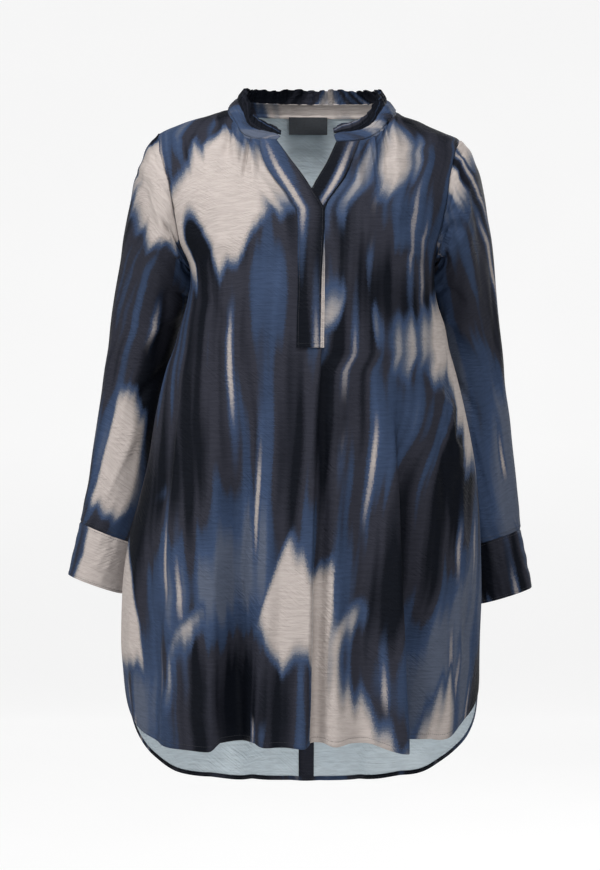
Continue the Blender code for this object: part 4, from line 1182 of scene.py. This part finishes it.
# ---------------------------------------------------------------- meshes
def cut_map(name, points, closed=False):
    """Each grid point's place on the flat cloth, in metres, by lengths along the grid from its middle. The
    front's left side is measured from beside the pleat, so that its print runs straight up past the pleat."""
    if closed:
        points = np.concatenate([points, points[:, :1]], axis=1)
    rows, columns = points.shape[:2]
    widths = np.linalg.norm(np.diff(points, axis=1), axis=-1)
    lengths = np.linalg.norm(np.diff(points, axis=0), axis=-1)
    u = np.concatenate([np.zeros((rows, 1)), np.cumsum(widths, axis=1)], axis=1)
    v = np.concatenate([np.zeros((1, columns)), np.cumsum(lengths, axis=0)], axis=0)
    u = u - u[:, columns // 2 : columns // 2 + 1]
    if name == "front":
        beside = slice(FRONT_CELLS + PLEAT_CELLS + len(PLEAT_TURN), None)
        u = u - u[:, FRONT_CELLS : FRONT_CELLS + 1]
        u[:, beside] = u[:, beside] - u[:, beside][:, :1] + u[0, beside][0]
    v = v - v[rows // 2 : rows // 2 + 1]
    return np.stack([u + CUTS[name][3], v + CUTS[name][4]], axis=-1)


def placed(name, data, place=(0.0, 0.0, 0.0)):
    """A new object in the scene."""
    obj = bpy.data.objects.new(name, data)
    obj.location = place
    bpy.context.scene.collection.objects.link(obj)
    return obj


def finish_piece(name, mesh, materials, stands_for=None):
    """A mesh with its materials as an object that rides on the garment's body."""
    for used in materials:
        mesh.materials.append(used)
    mesh.shade_smooth()
    obj = placed(name, mesh)
    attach(obj, "root")
    if stands_for:
        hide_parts(stands_for)
    return obj


def cloth(name, points, materials, wall=CLOTH, closed=False, keep=None):
    """A piece of cloth from a grid of points, which is its right side, given its thickness by Solidify."""
    rows, columns = points.shape[:2]
    row, column = np.mgrid[0 : rows - 1, 0 : columns if closed else columns - 1]
    keep = np.ones(row.shape, bool) if keep is None else keep
    row, column = row[keep], column[keep]
    corner_rows = np.stack([row, row, row + 1, row + 1], axis=1)
    corner_columns = np.stack([column, column + 1, column + 1, column], axis=1)
    if outward_sign(points, closed) < 0:
        corner_rows, corner_columns = corner_rows[:, ::-1], corner_columns[:, ::-1]
    used, number = np.unique(corner_rows * columns + corner_columns % columns, return_inverse=True)
    mesh = bpy.data.meshes.new(name)
    mesh.from_pydata(points.reshape(-1, 3)[used].tolist(), [], number.reshape(-1, 4).tolist())
    cut = cut_map(name, points, closed)[corner_rows, corner_columns]
    mesh.uv_layers.new(name="Cut").data.foreach_set("uv", cut.astype(np.float32).ravel())
    edge_of_corner = np.empty(len(mesh.loops), np.int32)
    mesh.loops.foreach_get("edge_index", edge_of_corner)
    at_border = np.bincount(edge_of_corner, minlength=len(mesh.edges)) == 1
    obj = finish_piece(name + "_cloth", mesh, materials, name)
    mesh.edges.foreach_set("use_edge_sharp", at_border)
    solidify = obj.modifiers.new("thickness", "SOLIDIFY")
    solidify.thickness = wall
    solidify.offset = -1.0
    solidify.material_offset = len(materials) - 1


def stitch_line(points, at, closed=False, down=False):
    """Points and normals along a grid, at a row or, down it, at a column, which may lie between two."""
    lines = []
    for grid in (points, outward(points, closed)):
        grid = np.swapaxes(grid, 0, 1) if down else grid
        low = math.floor(at)
        line = grid[low] + (grid[low + 1] - grid[low]) * (at - low)
        lines.append(np.concatenate([line, line[:1]]) if closed else line)
    return lines


def stitches(name, lines, thread):
    """Rows of stitches along lines, each stitch a small lozenge that lies on the cloth."""
    corners, faces = [], []
    for points, normals in lines:
        way = np.concatenate([[0.0], np.cumsum(np.linalg.norm(np.diff(points, axis=0), axis=1))])
        starts = np.arange(STITCH_GAP, way[-1] - STITCH, STITCH + STITCH_GAP)
        start, end, out = (
            np.stack([np.interp(at, way, grid[:, k]) for k in range(3)], axis=1)
            for at, grid in ((starts, points), (starts + STITCH, points), (starts, normals))
        )
        side = np.cross(end - start, out)
        side = side / np.linalg.norm(side, axis=1, keepdims=True) * THREAD
        middle = (start + end) / 2
        ring = [start, middle - side, end, middle + side, middle + out * THREAD, middle - out * THREAD]
        first = sum(len(block) for block in corners)
        corners.append(np.stack(ring, axis=1).reshape(-1, 3))
        for base in range(first, first + 6 * len(starts), 6):
            for a, b in ((0, 1), (1, 2), (2, 3), (3, 0)):
                faces.append((base + a, base + b, base + 4))
                faces.append((base + b, base + a, base + 5))
    mesh = bpy.data.meshes.new(name)
    mesh.from_pydata(np.concatenate(corners).tolist(), [], faces)
    finish_piece(name, mesh, [thread])


def build():
    """The garment, piece by piece."""
    printed, wrong = cloth_material("printed_cloth"), cloth_material("wrong_side", wrong_side=True)
    thread = plain_material("thread", THREAD_DARK, THREAD_LIGHT, *THREAD_GRAIN)
    woven = plain_material("label_cloth", LABEL_DARK, LABEL_LIGHT, *LABEL_GRAIN)
    both = [printed, wrong]
    front, back = with_hem(front_points()), with_hem(back_points())
    keep = front_cells()
    turned_up = len(front) - len(keep) - 1
    keep = np.concatenate([np.ones((turned_up, keep.shape[1]), bool), keep])
    cloth("front", front, both, keep=keep)
    cloth("back", back, both)
    cloth("back_strip", back_strip_points(back[turned_up:]), [printed])
    from_fold, from_edge = HEM_STITCHES
    hems = [stitch_line(grid, at) for grid in (front, back) for at in (turned_up + from_fold, from_edge)]
    stitches("hem_stitches", hems, thread)
    seams = []
    for side in ("right", "left"):
        sleeve, cuff = sleeve_points(side), cuff_points(side)
        cloth(f"sleeve_{side}", sleeve, both, closed=True)
        cloth(f"cuff_{side}", cuff, [printed], wall=DOUBLE, closed=True)
        seams.append(stitch_line(sleeve, len(sleeve) - 1 - SLEEVE_STITCHES, closed=True))
        seams.append(stitch_line(cuff, len(cuff) - 1 - CUFF_FOLD_STITCHES, closed=True))
        seams.append(stitch_line(cuff, CUFF_SEAM_STITCHES, closed=True))
    stitches("cuff_stitches", seams, thread)
    seams = []
    for name in PLACKET_LEVELS:
        strip = placket_strip(name)
        cloth(name, strip, [printed], wall=DOUBLE)
        seams.append(stitch_line(strip, PLACKET_STITCHES, down=True))
        seams.append(stitch_line(strip, PLACKET_CELLS - PLACKET_STITCHES, down=True))
        seams.append(stitch_line(strip, PLACKET_FOOT_STITCHES))
    stitches("placket_stitches", seams, thread)
    band = band_points()
    cloth("collar_band", band, [printed], wall=DOUBLE)
    rows = (BAND_STITCHES, len(band) - 1 - BAND_STITCHES)
    stitches("collar_stitches", [stitch_line(band, row) for row in rows], thread)
    cloth("collar_frill", frill_points(), [printed])
    cloth("neck_label", neck_label(), [woven], wall=LABEL_WALL)


# ---------------------------------------------------------------- studio and camera
def studio():
    """A pale floor that curves up into a pale backdrop, soft lights and a bright room."""
    bend = BACKDROP_BEND
    profile = [(FLOOR_FRONT, FLOOR), (BACKDROP - bend, FLOOR)]
    for turn in np.linspace(0, math.pi / 2, 13)[1:]:
        y, z = BACKDROP - bend + bend * math.sin(turn), FLOOR + bend - bend * math.cos(turn)
        profile.append((y, z))
    profile.append((BACKDROP, BACKDROP_TOP))
    corners = [(x, y, z) for y, z in profile for x in (-FLOOR_HALF, FLOOR_HALF)]
    faces = [(2 * i, 2 * i + 1, 2 * i + 3, 2 * i + 2) for i in range(len(profile) - 1)]
    mesh = bpy.data.meshes.new("studio_floor")
    mesh.from_pydata(corners, [], faces)
    mesh.shade_smooth()
    white = plain_material("studio_white", STUDIO_DARK, STUDIO_LIGHT, *STUDIO_GRAIN, glow=STUDIO_GLOW)
    mesh.materials.append(white)
    floor = placed("studio_floor", mesh)
    for name, (place, size, power) in LIGHTS.items():
        light = bpy.data.lights.new(name, "AREA")
        light.shape = "SQUARE"
        light.size = size
        light.energy = power
        aim = Vector(VIEW_MIDDLE) - Vector(place)
        placed(name, light, place).rotation_euler = aim.to_track_quat("-Z", "Y").to_euler()
    world = bpy.data.worlds.new("room")
    world.use_nodes = True
    tree = world.node_tree
    seen = add(tree, "LightPath", {}).outputs["Is Camera Ray"]
    bright = pushed(tree, ROOM_LIGHT, seen, ROOM_SEEN - ROOM_LIGHT)
    fill(tree, tree.nodes["Background"], {"Color": (1.0, 1.0, 1.0, 1.0), "Strength": bright})
    bpy.context.scene.world = world
    bpy.context.scene.view_settings.view_transform = "Standard"


def camera():
    """A camera level with the middle of the picture, which spans the picture's height at the garment."""
    data = bpy.data.cameras.new("camera")
    data.sensor_width = SENSOR
    data.lens = data.sensor_width * VIEW_DISTANCE / (PICTURE[1] * METRES_PER_PIXEL)
    obj = placed("camera", data, (VIEW_MIDDLE[0], -VIEW_DISTANCE, VIEW_MIDDLE[2]))
    obj.rotation_euler = (math.pi / 2, 0.0, 0.0)
    bpy.context.scene.camera = obj


build()
studio()
camera()
